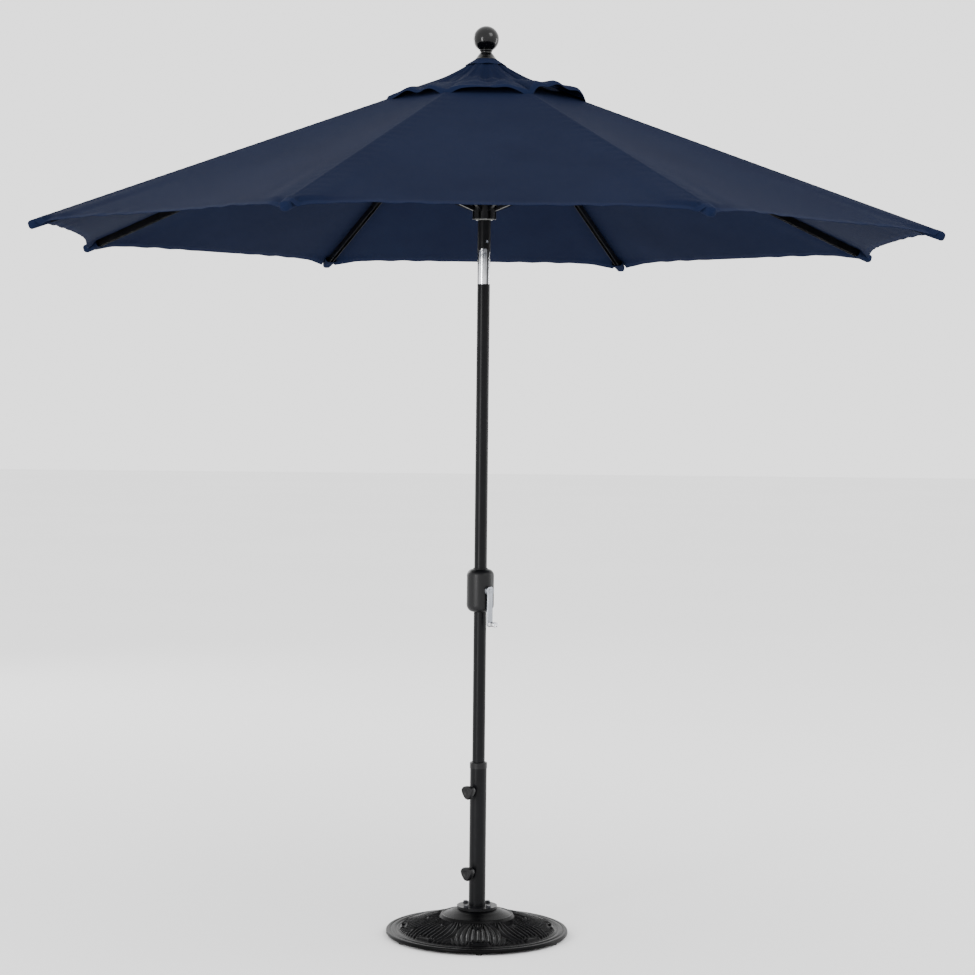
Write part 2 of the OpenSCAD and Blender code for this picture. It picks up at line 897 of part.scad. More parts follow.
// A point of the gore's plane, from its distances along the rib line and the middle line.
function on_mid(radius) = radius * cos(half_step) / cos(mid_slope);
function on_rib(radius) = radius / cos(rib_slope);
function mid_point(d) = d * [cos(gore_corner), sin(gore_corner)]
    + 0.15 * [sin(gore_corner), -cos(gore_corner)];
hem_steps = 10;
function hem_point(t) =
    let (tip = [on_rib(canopy_r), 0.2], mid = mid_point(on_mid(canopy_r)))
    tip + t * (mid - tip) - hem_depth * t * (2 - t) * [cos(gore_corner), sin(gore_corner)];

module half_gore() {
    multmatrix([[along_rib.x, gore_across.x, gore_up.x, 0],
                [along_rib.y, gore_across.y, gore_up.y, 0],
                [along_rib.z, gore_across.z, gore_up.z, apex_z],
                [0, 0, 0, 1]])
        linear_extrude(height = cloth_t)
            polygon(concat([[on_rib(vent_hole_r), 0.2]],
                           [for (k = [0:hem_steps]) hem_point(k / hem_steps)],
                           [mid_point(on_mid(vent_hole_r))]));
}

module canopy(i) {
    color("#222c4b")
        rotate([0, 0, first_rib + rib_step * (i - 1)]) {
            half_gore();
            mirror([0, 1, 0])
                half_gore();
        }
}

// One flat piece of the vent cap in the gore along +X: a trapezium from the corner radius r0 at
// height z0 up to r1 at z1, t thick inwards, with its slanted edges moved in by gap.
module vent_panel(r0, z0, r1, z1, t, gap = 0) {
    run = (r0 - r1) * cos(half_step);
    slope_length = norm([run, z1 - z0]);
    c = run / slope_length;
    s = (z1 - z0) / slope_length;
    w0 = r0 * sin(half_step) - gap;
    w1 = r1 * sin(half_step) - gap;
    multmatrix([[-c, 0, -s, r0 * cos(half_step)], [0, 1, 0, 0], [s, 0, -c, z0], [0, 0, 0, 1]])
        linear_extrude(height = t)
            polygon([[0, -w0], [slope_length, -w1], [slope_length, w1], [0, w0]]);
}

// The vent cap: eight flat panels round a steeper crown, over the canopy's top opening.
module vent_cap() {
    knee_r = 130;
    inner_r = 40;
    rim_z = apex_z - vent_r * tan(rib_slope) + 8;
    knee_z = apex_z - knee_r * tan(rib_slope) + 8;
    top_z = hub_top + 0.4;
    t = cloth_t * 1.1;
    gap = 0.15 + t * tan(half_step) * sin(rib_slope);
    color("#222c4b")
        rotate([0, 0, first_rib + half_step]) {
            for (k = [0:7])
                rotate([0, 0, rib_step * k])
                    vent_panel(vent_r, rim_z, knee_r + 0.5, knee_z - 0.3, t, gap);
            difference() {
                union() {
                    for (k = [0:7])
                        rotate([0, 0, rib_step * k])
                            vent_panel(knee_r, knee_z, inner_r, top_z + t, t);
                    translate([0, 0, top_z])
                        rotate([0, 0, half_step])
                            linear_extrude(height = t)
                                circle(r = inner_r, $fn = 8);
                }
                translate([0, 0, hub_z])
                    cylinder(h = 100, r = 6);
            }
        }
}

base_plate();
base_feet();
stem_flange();
flange_bolts();
stem_tube();
stem_cap();
knob_upper();
knob_lower();
mast_plug();
mast_lower();
mast_middle();
housing_front();
housing_rear();
housing_screws();
brake_spring();
crank_spindle();
cord_drum();
crank_arm();
arm_screw();
crank_grip();
tilt_socket();
tilt_pins();
tilt_knuckle();
knuckle_rivets();
mast_upper();
lift_cord_lower();
lift_cord_upper();
lift_cord_drop();
sheave();
sheave_pin();
top_hub();
hub_ring();
finial();
vent_cap();
runner();
runner_bush();
for (i = [1:rib_count])
    rib(i);
for (i = [1:rib_count])
    strut(i);
for (i = [1:rib_count])
    canopy(i);
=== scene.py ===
"""Dresses the patio umbrella: a navy vented canopy on a black crank mast in a cast base."""

import sys
import json
import logging
import math
from dataclasses import dataclass, field
from enum import Enum
from functools import partial
from typing import Callable, Sequence

import bmesh
import bpy
import numpy as np
from mathutils import Matrix, Vector


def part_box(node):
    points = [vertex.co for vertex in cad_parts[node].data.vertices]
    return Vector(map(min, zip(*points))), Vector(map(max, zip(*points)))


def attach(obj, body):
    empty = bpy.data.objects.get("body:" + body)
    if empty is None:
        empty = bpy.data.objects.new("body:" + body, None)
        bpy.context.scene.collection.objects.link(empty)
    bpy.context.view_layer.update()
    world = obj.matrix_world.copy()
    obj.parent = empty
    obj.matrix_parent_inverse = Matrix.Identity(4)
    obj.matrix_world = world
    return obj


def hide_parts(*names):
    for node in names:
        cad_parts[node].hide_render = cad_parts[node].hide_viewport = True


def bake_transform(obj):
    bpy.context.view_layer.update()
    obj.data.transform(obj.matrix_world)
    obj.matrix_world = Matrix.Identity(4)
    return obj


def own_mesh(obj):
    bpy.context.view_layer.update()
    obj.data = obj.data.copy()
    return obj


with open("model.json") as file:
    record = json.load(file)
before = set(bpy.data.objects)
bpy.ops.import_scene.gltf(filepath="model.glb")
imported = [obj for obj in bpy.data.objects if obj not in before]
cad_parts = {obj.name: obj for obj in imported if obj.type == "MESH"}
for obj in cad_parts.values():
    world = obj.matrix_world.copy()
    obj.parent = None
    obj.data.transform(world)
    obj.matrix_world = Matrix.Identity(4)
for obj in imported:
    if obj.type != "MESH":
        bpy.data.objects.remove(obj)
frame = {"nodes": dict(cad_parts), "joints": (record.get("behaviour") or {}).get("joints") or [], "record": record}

LOG = logging.getLogger("umbrella")
Array = np.ndarray


# ---------------------------------------------------------------- shader expressions

class Wire:
    """A value or colour on its way between shader nodes, with the usual operators."""

    def __init__(self, graph: "Graph", socket: bpy.types.NodeSocket) -> None:
        """Keeps the graph and the socket that the value comes out of."""
        self.graph = graph
        self.socket = socket

    def __add__(self, other: "Wire | float") -> "Wire":
        """Sum."""
        return self.graph.math("ADD", self, other)

    __radd__ = __add__

    def __sub__(self, other: "Wire | float") -> "Wire":
        """Difference."""
        return self.graph.math("SUBTRACT", self, other)

    def __rsub__(self, other: "Wire | float") -> "Wire":
        """Difference, from the left."""
        return self.graph.math("SUBTRACT", other, self)

    def __mul__(self, other: "Wire | float") -> "Wire":
        """Product."""
        return self.graph.math("MULTIPLY", self, other)

    __rmul__ = __mul__

    def __truediv__(self, other: "Wire | float") -> "Wire":
        """Quotient."""
        return self.graph.math("DIVIDE", self, other)

    def __rtruediv__(self, other: "Wire | float") -> "Wire":
        """Quotient, from the left."""
        return self.graph.math("DIVIDE", other, self)

    def __pow__(self, other: "Wire | float") -> "Wire":
        """Power."""
        return self.graph.math("POWER", self, other)

    def sine(self) -> "Wire":
        """Sine of the value in radians."""
        return self.graph.math("SINE", self)

    def size(self) -> "Wire":
        """The value without its sign."""
        return self.graph.math("ABSOLUTE", self)

    def below(self, limit: "Wire | float") -> "Wire":
        """1 where the value is under the limit, else 0."""
        return self.graph.math("LESS_THAN", self, limit)

    def above(self, limit: "Wire | float") -> "Wire":
        """1 where the value is over the limit, else 0."""
        return self.graph.math("GREATER_THAN", self, limit)

    def ramp(self, low: float, high: float, to_low: float = 0.0, to_high: float = 1.0) -> "Wire":
        """The value carried from one range to another, and held at the ends.

        Args:
            low: where the first range starts.
            high: where it ends.
            to_low: the result at low.
            to_high: the result at high.

        Returns:
            The carried value.
        """
        return self.graph.node("ShaderNodeMapRange", {"clamp": True}, {
            "Value": self, "From Min": low, "From Max": high, "To Min": to_low, "To Max": to_high})


class Graph:
    """One material's node tree."""

    def __init__(self, name: str) -> None:
        """Starts an empty material with its output node."""
        self.material = bpy.data.materials.new(name)
        self.material.use_nodes = True
        self.tree = self.material.node_tree
        self.tree.nodes.clear()
        self.output = self.tree.nodes.new("ShaderNodeOutputMaterial")

    def node(self, kind: str, settings: dict | None = None, inputs: dict | None = None,
             out: str | int = 0) -> Wire:
        """Adds a node.

        Args:
            kind: the node's type.
            settings: its own settings, set before its inputs are filled.
            inputs: values or wires for its sockets, by name or number.
            out: the output that is wanted.

        Returns:
            A wire from that output.
        """
        made = self.tree.nodes.new(kind)
        for key, value in (settings or {}).items():
            setattr(made, key, value)
        for key, value in (inputs or {}).items():
            socket = made.inputs[key]
            if isinstance(value, Wire):
                self.tree.links.new(value.socket, socket)
            else:
                socket.default_value = value
        return Wire(self, made.outputs[out])

    def math(self, operation: str, *values: "Wire | float") -> Wire:
        """A Math node of the given operation on one to three values."""
        return self.node("ShaderNodeMath", {"operation": operation}, dict(enumerate(values)))

    def place(self) -> Wire:
        """Object coordinates, which are metres in the umbrella's own frame."""
        return self.node("ShaderNodeTexCoord", out="Object")

    def split(self, vector: Wire) -> tuple[Wire, Wire, Wire]:
        """The three parts of a vector."""
        made = self.tree.nodes.new("ShaderNodeSeparateXYZ")
        self.tree.links.new(vector.socket, made.inputs[0])
        return tuple(Wire(self, made.outputs[k]) for k in range(3))

    def cloth_uv(self) -> tuple[Wire, Wire]:
        """The piece's own UV map in metres: across the cloth, and up from its lower edge."""
        u, v, _ = self.split(self.node("ShaderNodeUVMap", {"uv_map": "cloth"}))
        return u, v

    def attribute(self, name: str) -> Wire:
        """A number stored on the mesh's points."""
        return self.node("ShaderNodeAttribute", {"attribute_name": name}, out="Fac")

    def noise(self, scale: float, detail: float = 3.0, rough: float = 0.5,
              vector: Wire | None = None) -> Wire:
        """Smooth noise of about 0.5, with a scale in cycles a metre."""
        return self.node("ShaderNodeTexNoise", None, {
            "Vector": vector or self.place(), "Scale": scale, "Detail": detail, "Roughness": rough},
            out="Fac")

    def mix(self, share: "Wire | float", first: "Wire | Sequence[float]",
            second: "Wire | Sequence[float]") -> Wire:
        """A colour between two, by a share from 0 to 1."""
        made = self.tree.nodes.new("ShaderNodeMix")
        made.data_type = "RGBA"
        for socket, value in ((made.inputs[0], share), (made.inputs[6], first), (made.inputs[7], second)):
            if isinstance(value, Wire):
                self.tree.links.new(value.socket, socket)
            elif isinstance(value, (int, float)):
                socket.default_value = value
            else:
                socket.default_value = (*value, 1.0)
        return Wire(self, made.outputs[2])

    def bump(self, height: Wire, distance: float, strength: float = 1.0) -> Wire:
        """A surface normal from a height of 0 to 1 that stands for the given distance."""
        return self.node("ShaderNodeBump", None, {
            "Height": height, "Distance": distance, "Strength": strength}, out="Normal")

    def finish(self, inputs: dict) -> bpy.types.Material:
        """Adds the surface shader with these inputs and returns the material."""
        surface = self.node("ShaderNodeBsdfPrincipled", None, inputs)
        self.tree.links.new(surface.socket, self.output.inputs["Surface"])
        return self.material


# ---------------------------------------------------------------- finishes

Colour = tuple[float, float, float]


@dataclass(frozen=True)
class PowderCoat:
    """Baked black powder coat on steel tube, with a fine orange peel and a little dust."""

    name: str = "frame_black"
    colour: Colour = (0.00165, 0.00172, 0.00232)
    roughness: float = 0.33
    peel_m: float = 0.0011

    def material(self) -> bpy.types.Material:
        """Builds the finish."""
        g = Graph(self.name)
        peel = g.noise(1.0 / self.peel_m, 2.0)
        cloud = g.noise(9.0, 4.0, 0.6)
        dust = g.noise(60.0, 6.0, 0.7).ramp(0.56, 0.78)
        base = g.mix(cloud.ramp(0.35, 0.7), self.colour, tuple(1.5 * c for c in self.colour))
        colour = g.mix(dust * 0.07, base, (0.05, 0.05, 0.055))
        rough = cloud.ramp(0.3, 0.7, self.roughness - 0.06, self.roughness + 0.07) + dust * 0.12
        return g.finish({"Base Color": colour, "Roughness": rough, "IOR": 1.22,
                         "Normal": g.bump(peel, 0.00006, 0.7)})


@dataclass(frozen=True)
class CastEnamel:
    """Sand-cast iron under black enamel: pitted, dull in the hollows, worn shinier on the ridges, which are
    painted lighter as part wear, part painted highlight.
    """

    name: str = "cast_black"
    colour: Colour = (0.00084, 0.00084, 0.00105)
    roughness: float = 0.30

    def material(self) -> bpy.types.Material:
        """Builds the finish."""
        g = Graph(self.name)
        ridge = g.attribute("ridge")
        sand = g.noise(1400.0, 3.0, 0.6)
        pits = g.noise(240.0, 4.0, 0.6)
        # ridges painted lighter in patches: partly worn enamel, partly a painted highlight; the lower roughness
        # there is the wear
        wear_and_highlight = (ridge * g.noise(45.0, 4.0, 0.65).ramp(0.35, 0.6)).ramp(0.35, 0.95)
        hollow = (1.0 - ridge) * g.noise(30.0, 3.0).ramp(0.4, 0.75)
        base = g.mix(wear_and_highlight * 0.45, self.colour, (0.011, 0.0112, 0.013))
        colour = g.mix(hollow * 0.20, base, (0.004, 0.0037, 0.0034))
        rough = pits.ramp(0.3, 0.7, self.roughness - 0.05, self.roughness + 0.12) - wear_and_highlight * 0.14
        normal = g.bump(sand * 0.4 + pits, 0.00022, 0.8)
        return g.finish({"Base Color": colour, "Roughness": rough, "IOR": 1.15,
                         "Normal": normal})


@dataclass(frozen=True)
class BrightMetal:
    """Plated or plain bright metal, with fine turning or drawing lines along Z, a few smudges, and painted dark
    bands of reflection stretched along Z.
    """

    name: str
    colour: Colour
    roughness: float
    line_m: float = 0.0004
    line_depth: float = 0.00001
    # painted reflection: width and share of the dark bands that stand in for dark surroundings mirrored in the
    # metal
    painted_reflection_m: float = 0.012
    painted_reflection_share: float = 0.0

    def material(self) -> bpy.types.Material:
        """Builds the finish."""
        g = Graph(self.name)
        x, y, z = g.split(g.place())
        stretched = g.node("ShaderNodeCombineXYZ", None, {0: x, 1: y, 2: z * 0.04})
        lines = g.noise(1.0 / self.line_m, 2.0, 0.5, stretched)
        smudge = g.noise(38.0, 5.0, 0.62).ramp(0.42, 0.72)
        # painted reflection: dark bands stretched along Z take the place of mirrored surroundings
        reflection_axes = g.node("ShaderNodeCombineXYZ", None, {0: x, 1: y, 2: z * 0.02})
        painted_reflection = g.noise(1.0 / self.painted_reflection_m, 1.0, 0.4, reflection_axes).ramp(0.44, 0.60) * self.painted_reflection_share
        clean = g.mix(smudge * 0.35, self.colour, tuple(0.72 * c for c in self.colour))
        colour = g.mix(painted_reflection, clean, tuple(0.06 * c for c in self.colour))
        rough = smudge * 0.13 + lines.ramp(0.3, 0.7, self.roughness * 0.8, self.roughness * 1.25)
        return g.finish({"Base Color": colour, "Metallic": 1.0, "Roughness": rough,
                         "Normal": g.bump(lines, self.line_depth, 0.5)})


@dataclass(frozen=True)
class Moulded:
    """Injection-moulded plastic or rubber with an etched grain."""

    name: str
    colour: Colour
    roughness: float
    grain_m: float = 0.0009
    grain_depth: float = 0.00005
    coat: float = 0.0
    bleach: float = 0.01
    shine: float = 0.22

    def material(self) -> bpy.types.Material:
        """Builds the finish."""
        g = Graph(self.name)
        cells = g.node("ShaderNodeTexVoronoi", {"feature": "SMOOTH_F1"}, {
            "Vector": g.place(), "Scale": 1.0 / self.grain_m}, out="Distance")
        cloud = g.noise(22.0, 5.0, 0.6)
        scuff = g.noise(130.0, 6.0, 0.72).ramp(0.62, 0.74)
        pale = tuple(c + self.bleach * (0.35 - c) for c in self.colour)
        base = g.mix(cloud.ramp(0.4, 0.75) * 0.3, self.colour, pale)
        colour = g.mix(scuff * 0.22, base, tuple(min(1.0, 2.2 * c + 0.006) for c in self.colour))
        rough = cloud.ramp(0.3, 0.7, self.roughness - 0.05, self.roughness + 0.06) + scuff * 0.08
        return g.finish({"Base Color": colour, "Roughness": rough, "Coat Weight": self.coat,
                         "Specular IOR Level": self.shine, "Coat Roughness": 0.06,
                         "Normal": g.bump(cells, self.grain_depth, 0.6)})


@dataclass(frozen=True)
class Canvas:
    """Solution-dyed navy canvas in a plain weave, with stitched hems and seams."""

    name: str = "navy_canvas"
    colour: Colour = (0.0032, 0.0057, 0.0186)
    faded: Colour = (0.0049, 0.0084, 0.0242)
    thread: Colour = (0.0085, 0.0120, 0.0270)
    yarn_m: float = 0.00085
    hem_m: float = 0.020
    seam_m: float = 0.009
    stitch_m: float = 0.0042
    thread_half: float = 0.00075

    def weave(self, u: Wire, v: Wire) -> Wire:
        """Height of a plain weave: rounded yarns that pass over and under one another.

        Args:
            u: metres across the cloth.
            v: metres along it.

        Returns:
            The height, from 0 to 1.
        """
        turn = math.pi / self.yarn_m
        warp, weft = (u * turn).sine(), (v * turn).sine()
        over = (warp * weft).above(0.0)
        return over * warp.size() + (1.0 - over) * weft.size()

    def stitches(self, along: Wire, across: Wire, at: float) -> Wire:
        """A row of stitches.

        Args:
            along: metres along the row.
            across: metres across it.
            at: how far across the row lies.

        Returns:
            1 on a stitch, else 0.
        """
        dash = (along * (2.0 * math.pi / self.stitch_m)).sine().above(-0.35)
        return (across - at).size().below(self.thread_half) * dash

    def material(self) -> bpy.types.Material:
        """Builds the finish."""
        g = Graph(self.name)
        u, v = g.cloth_uv()
        yarns = self.weave(u, v)
        slub = g.noise(420.0, 4.0, 0.7, g.node("ShaderNodeCombineXYZ", None, {0: u, 1: v * 0.12}))
        cloud = g.noise(2.6, 5.0, 0.6)
        hem = self.stitches(u, v, self.hem_m)
        seam = self.stitches(v, u, self.seam_m)
        thread = g.math("MAXIMUM", hem, seam)
        dyed = g.mix(cloud.ramp(0.34, 0.70), self.colour, self.faded)
        slubbed = g.mix(slub.ramp(0.45, 0.8) * 0.35, dyed, tuple(1.7 * c for c in self.faded))
        # painted shade: darker colour where the yarns dip between one another
        shaded = g.mix(yarns.ramp(0.0, 0.7, 0.38, 0.0), slubbed, tuple(0.4 * c for c in self.colour))
        hemmed = g.mix(v.below(self.hem_m) * 0.4, shaded, tuple(1.4 * c for c in self.faded))
        colour = g.mix(thread * 0.75, hemmed, self.thread)
        height = yarns * 0.5 + slub * 0.25 + thread * 0.6
        return g.finish({"Base Color": colour, "Roughness": slub.ramp(0.3, 0.7, 0.80, 0.93),
                         "Specular IOR Level": 0.03, "Sheen Weight": 0.004, "Sheen Roughness": 0.45,
                         "Sheen Tint": (0.55, 0.62, 0.85, 1.0),
                         "Normal": g.bump(height, 0.00022, 0.55)})


@dataclass(frozen=True)
class BraidedCord:
    """Pale polyester lift cord with a braided cover."""

    name: str = "cord_white"
    colour: Colour = (0.62, 0.60, 0.54)

    def material(self) -> bpy.types.Material:
        """Builds the finish."""
        g = Graph(self.name)
        x, y, z = g.split(g.place())
        left = ((z + x + y) * 2600.0).sine()
        right = ((z - x - y) * 2600.0).sine()
        braid = g.math("MAXIMUM", left, right)
        grime = g.noise(55.0, 4.0).ramp(0.4, 0.75)
        colour = g.mix(grime * 0.4, self.colour, (0.30, 0.29, 0.26))
        return g.finish({"Base Color": colour, "Roughness": braid.ramp(-1.0, 1.0, 0.88, 0.70),
                         "Normal": g.bump(braid, 0.0002, 0.8)})


class Finish(Enum):
    """The record's material slots, each with the finish it gets."""

    CAST = CastEnamel()
    FRAME = PowderCoat()
    # chrome and bright steel get painted reflection bands; the steel's last two numbers size them
    CHROME = BrightMetal("chrome", (0.78, 0.79, 0.82), 0.10, painted_reflection_share=0.96)
    DARK_STEEL = BrightMetal("blackened_steel", (0.045, 0.046, 0.052), 0.36, 0.0004, 0.00002)
    STEEL = BrightMetal("bright_steel", (0.40, 0.42, 0.46), 0.22, 0.0003, 0.00002, 0.009, 0.55)
    BLACK_PLASTIC = Moulded("black_plastic", (0.0026, 0.0026, 0.0032), 0.40)
    GLOSS = Moulded("gloss_black", (0.0012, 0.0012, 0.0016), 0.16, 0.004, 0.00002, 0.12, 0.004, 0.2)
    WHITE_PLASTIC = Moulded("white_plastic", (0.16, 0.16, 0.155), 0.40, 0.0014, 0.00003, bleach=0.1)
    RUBBER = Moulded("foot_rubber", (0.004, 0.004, 0.004), 0.72, 0.0012, 0.0001)
    CANVAS = Canvas()
    CORD = BraidedCord()

    @property
    def slot(self) -> str:
        """The record's slot name; the blackened steel is the record's steel."""
        return (Finish.STEEL if self is Finish.DARK_STEEL else self).value.name


class Palette:
    """Makes each finish once and hands it out by the record's slot name."""

    def __init__(self) -> None:
        """Builds every finish."""
        self.made = {f.value.name: f.value.material() for f in Finish}

    def dress(self, piece: bpy.types.Object, finish: Finish) -> bpy.types.Object:
        """Gives a new piece its finish."""
        piece.data.materials.clear()
        piece.data.materials.append(self.made[finish.value.name])
        return piece

    def dress_nodes(self) -> int:
        """Gives every CAD node the finish of its own slot, and returns how many."""
        slots = {s["node"]: s["material_slot"] for s in frame["record"]["subparts"]}
        for name, node in frame["nodes"].items():
            if not node.material_slots:
                node.data.materials.append(None)
            for socket in node.material_slots:
                socket.material = self.made[slots[name]]
        return len(slots)


# ---------------------------------------------------------------- surfaces

def make_mesh(name: str, points: Array, faces: "Array | list", smooth: bool = True) -> bpy.types.Object:
    """Puts points and faces into a new object at the origin.

    Args:
        name: the piece's name.
        points: n by 3, in metres.
        faces: point numbers of each face, counter-clockwise from outside.
        smooth: whether the faces are shaded smooth.

    Returns:
        The new object.
    """
    mesh = bpy.data.meshes.new(name)
    mesh.from_pydata(points.tolist(), [], faces if isinstance(faces, list) else faces.tolist())
    mesh.polygons.foreach_set("use_smooth", np.full(len(mesh.polygons), smooth))
    mesh.update()
    piece = bpy.data.objects.new(name, mesh)
    bpy.context.scene.collection.objects.link(piece)
    return piece


def polar(radius: Array, angle: Array, height: Array) -> Array:
    """Points, n by 3, from radii, angles and heights that spread to one grid."""
    parts = np.broadcast_arrays(radius * np.cos(angle), radius * np.sin(angle), height)
    return np.stack(parts, -1).reshape(-1, 3)


def full_turn(sides: int) -> Array:
    """Angles of a whole turn in even steps, in radians."""
    return np.linspace(0.0, 2.0 * math.pi, sides, endpoint=False)


def grid_faces(rows: int, columns: int, close_rows: bool = False, close_columns: bool = False) -> Array:
    """Quads of a grid of points that is stored row by row.

    Args:
        rows: number of rows of points.
        columns: points in a row.
        close_rows: join the last row to the first.
        close_columns: join the last column to the first.

    Returns:
        The quads' point numbers.
    """
    i = np.arange(rows if close_rows else rows - 1)
    j = np.arange(columns if close_columns else columns - 1)
    a, b = np.meshgrid(i, j, indexing="ij")
    c, d = (a + 1) % rows, (b + 1) % columns
    quads = np.stack([a * columns + b, a * columns + d, c * columns + d, c * columns + b], -1)
    return quads.reshape(-1, 4)


def set_uv(piece: bpy.types.Object, uv: Array) -> None:
    """Stores a UV map called cloth, from one pair of numbers a point."""
    mesh = piece.data
    layer = mesh.uv_layers.new(name="cloth")
    corner = np.zeros(len(mesh.loops), np.int32)
    mesh.loops.foreach_get("vertex_index", corner)
    layer.data.foreach_set("uv", uv[corner].astype(np.float32).ravel())


def set_number(piece: bpy.types.Object, name: str, values: Array) -> None:
    """Stores one number on each point."""
    layer = piece.data.attributes.new(name, "FLOAT", "POINT")
    layer.data.foreach_set("value", values.astype(np.float32))


def arc(centre: tuple[float, float], radius: float, start: float, stop: float, count: int) -> Array:
    """Points of an arc in the plane, with its angles in degrees, ends included."""
    angle = np.radians(np.linspace(start, stop, count))
    return np.stack([centre[0] + radius * np.cos(angle), centre[1] + radius * np.sin(angle)], -1)


def turned(name: str, profile: Array, sides: int = 96) -> bpy.types.Object:
    """A surface of revolution about Z: each profile point (radius, height) is carried round.

    Args:
        name: the piece's name.
        profile: n by 2, from the top down on the outside.
        sides: steps round.

    Returns:
        The new object, with its poles as single points.
    """
    piece = make_mesh(name, polar(profile[:, :1], full_turn(sides), profile[:, 1:]),
                      grid_faces(len(profile), sides, close_columns=True)[:, ::-1])
    merge_doubles(piece)
    return piece


def merge_doubles(piece: bpy.types.Object, distance: float = 1e-6) -> None:
    """Joins points that lie on each other, and turns the faces outwards again."""
    bm = bmesh.new()
    bm.from_mesh(piece.data)
    bmesh.ops.remove_doubles(bm, verts=bm.verts, dist=distance)
    bmesh.ops.dissolve_degenerate(bm, dist=1e-7, edges=bm.edges)
    bmesh.ops.recalc_face_normals(bm, faces=bm.faces)
    bm.to_mesh(piece.data)
    bm.free()


def aim(piece: bpy.types.Object, matrix: Matrix) -> bpy.types.Object:
    """Moves the piece's points by a matrix, so that its object stays at the origin."""
    piece.data.transform(matrix)
    piece.data.update()
    return piece


def thicken(piece: bpy.types.Object, thickness: float) -> None:
    """Gives a sheet its thickness inwards."""
    solid = piece.modifiers.new("thickness", "SOLIDIFY")
    solid.thickness = thickness
    solid.offset = -1.0


def round_edges(piece: bpy.types.Object, width: float, steps: int = 3) -> None:
    """Rounds a piece's sharp edges."""
    bevel = piece.modifiers.new("edges", "BEVEL")
    bevel.width = width
    bevel.segments = steps
    bevel.limit_method = "ANGLE"
    bevel.angle_limit = math.radians(35.0)


def plate(name: str, outline: Array, low: float, high: float) -> bpy.types.Object:
    """A flat plate: an outline in the plane, counter-clockwise, raised from low to high.

    Args:
        name: the piece's name.
        outline: n by 2.
        low: height of its underside.
        high: height of its top.

    Returns:
        The new object, with sharp edges for a bevel.
    """
    n = len(outline)
    points = np.vstack([np.column_stack([outline, np.full(n, z)]) for z in (low, high)])
    sides = [(k, (k + 1) % n, n + (k + 1) % n, n + k) for k in range(n)]
    return make_mesh(name, points, [tuple(range(n - 1, -1, -1)), tuple(range(n, 2 * n)), *sides])


def edged(count: int, margin: float) -> Array:
    """Even steps from 0 to 1 with one more step close to each end, which keeps edges shaded crisply."""
    return np.concatenate([[0.0, margin], np.linspace(0.0, 1.0, count)[1:-1], [1.0 - margin, 1.0]])


def wave(x: Array, length: float, phase: "Array | float" = 0.0) -> Array:
    """A sine of the given wavelength."""
    return np.sin(x * 2.0 * math.pi / length + phase)


def smooth_step(x: Array) -> Array:
    """0 below 0, 1 above 1, and a smooth rise between."""
    x = np.clip(x, 0.0, 1.0)
    return x * x * (3.0 - 2.0 * x)


# ---------------------------------------------------------------- the frame's own measures

@dataclass
class Skeleton:
    """Where the ribs, the hub and the mast are, read from the frame's joints and nodes."""

    count: int = 8
    pivot_r: float = field(init=False)
    hub_z: float = field(init=False)
    slope: float = field(init=False)
    fold: float = field(init=False)
    tip_r: float = field(init=False)

    def __post_init__(self) -> None:
        """Reads the joints."""
        joints = {j["name"]: j for j in frame["joints"]}
        rib, strut = joints["rib_1_fold"], joints["strut_1_fold"]
        a, b = np.array(rib["pos_m"]), np.array(strut["pos_m"])
        self.pivot_r = float(np.hypot(a[0], a[1]))
        self.hub_z = float(a[2])
        out = float(np.hypot(b[0], b[1])) - self.pivot_r
        self.slope = math.atan2(self.hub_z - float(b[2]), out)
        self.fold = math.radians(max(rib["range_deg"]))
        low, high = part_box("canopy_1")
        self.tip_r = max(abs(high.x), abs(low.x)) / math.cos(self.half_step)

    @property
    def half_step(self) -> float:
        """Half the angle between two ribs."""
        return math.pi / self.count

    def azimuth(self, rib: int) -> float:
        """Direction of a rib, in radians from +X."""
        return self.half_step + 2.0 * self.half_step * (rib - 1)

    def line_height(self, radius: "Array | float", lift: float) -> "Array | float":
        """Height of a line that runs along a rib, lifted square to it."""
        return self.hub_z + lift / math.cos(self.slope) - (radius - self.pivot_r) * math.tan(self.slope)

    def turned_to(self, rib: int, points: Array) -> Array:
        """Points given with the rib along +X, turned to where that rib is."""
        c, s = math.cos(self.azimuth(rib)), math.sin(self.azimuth(rib))
        return points @ np.array([[c, s, 0.0], [-s, c, 0.0], [0.0, 0.0, 1.0]])


# ---------------------------------------------------------------- cloth

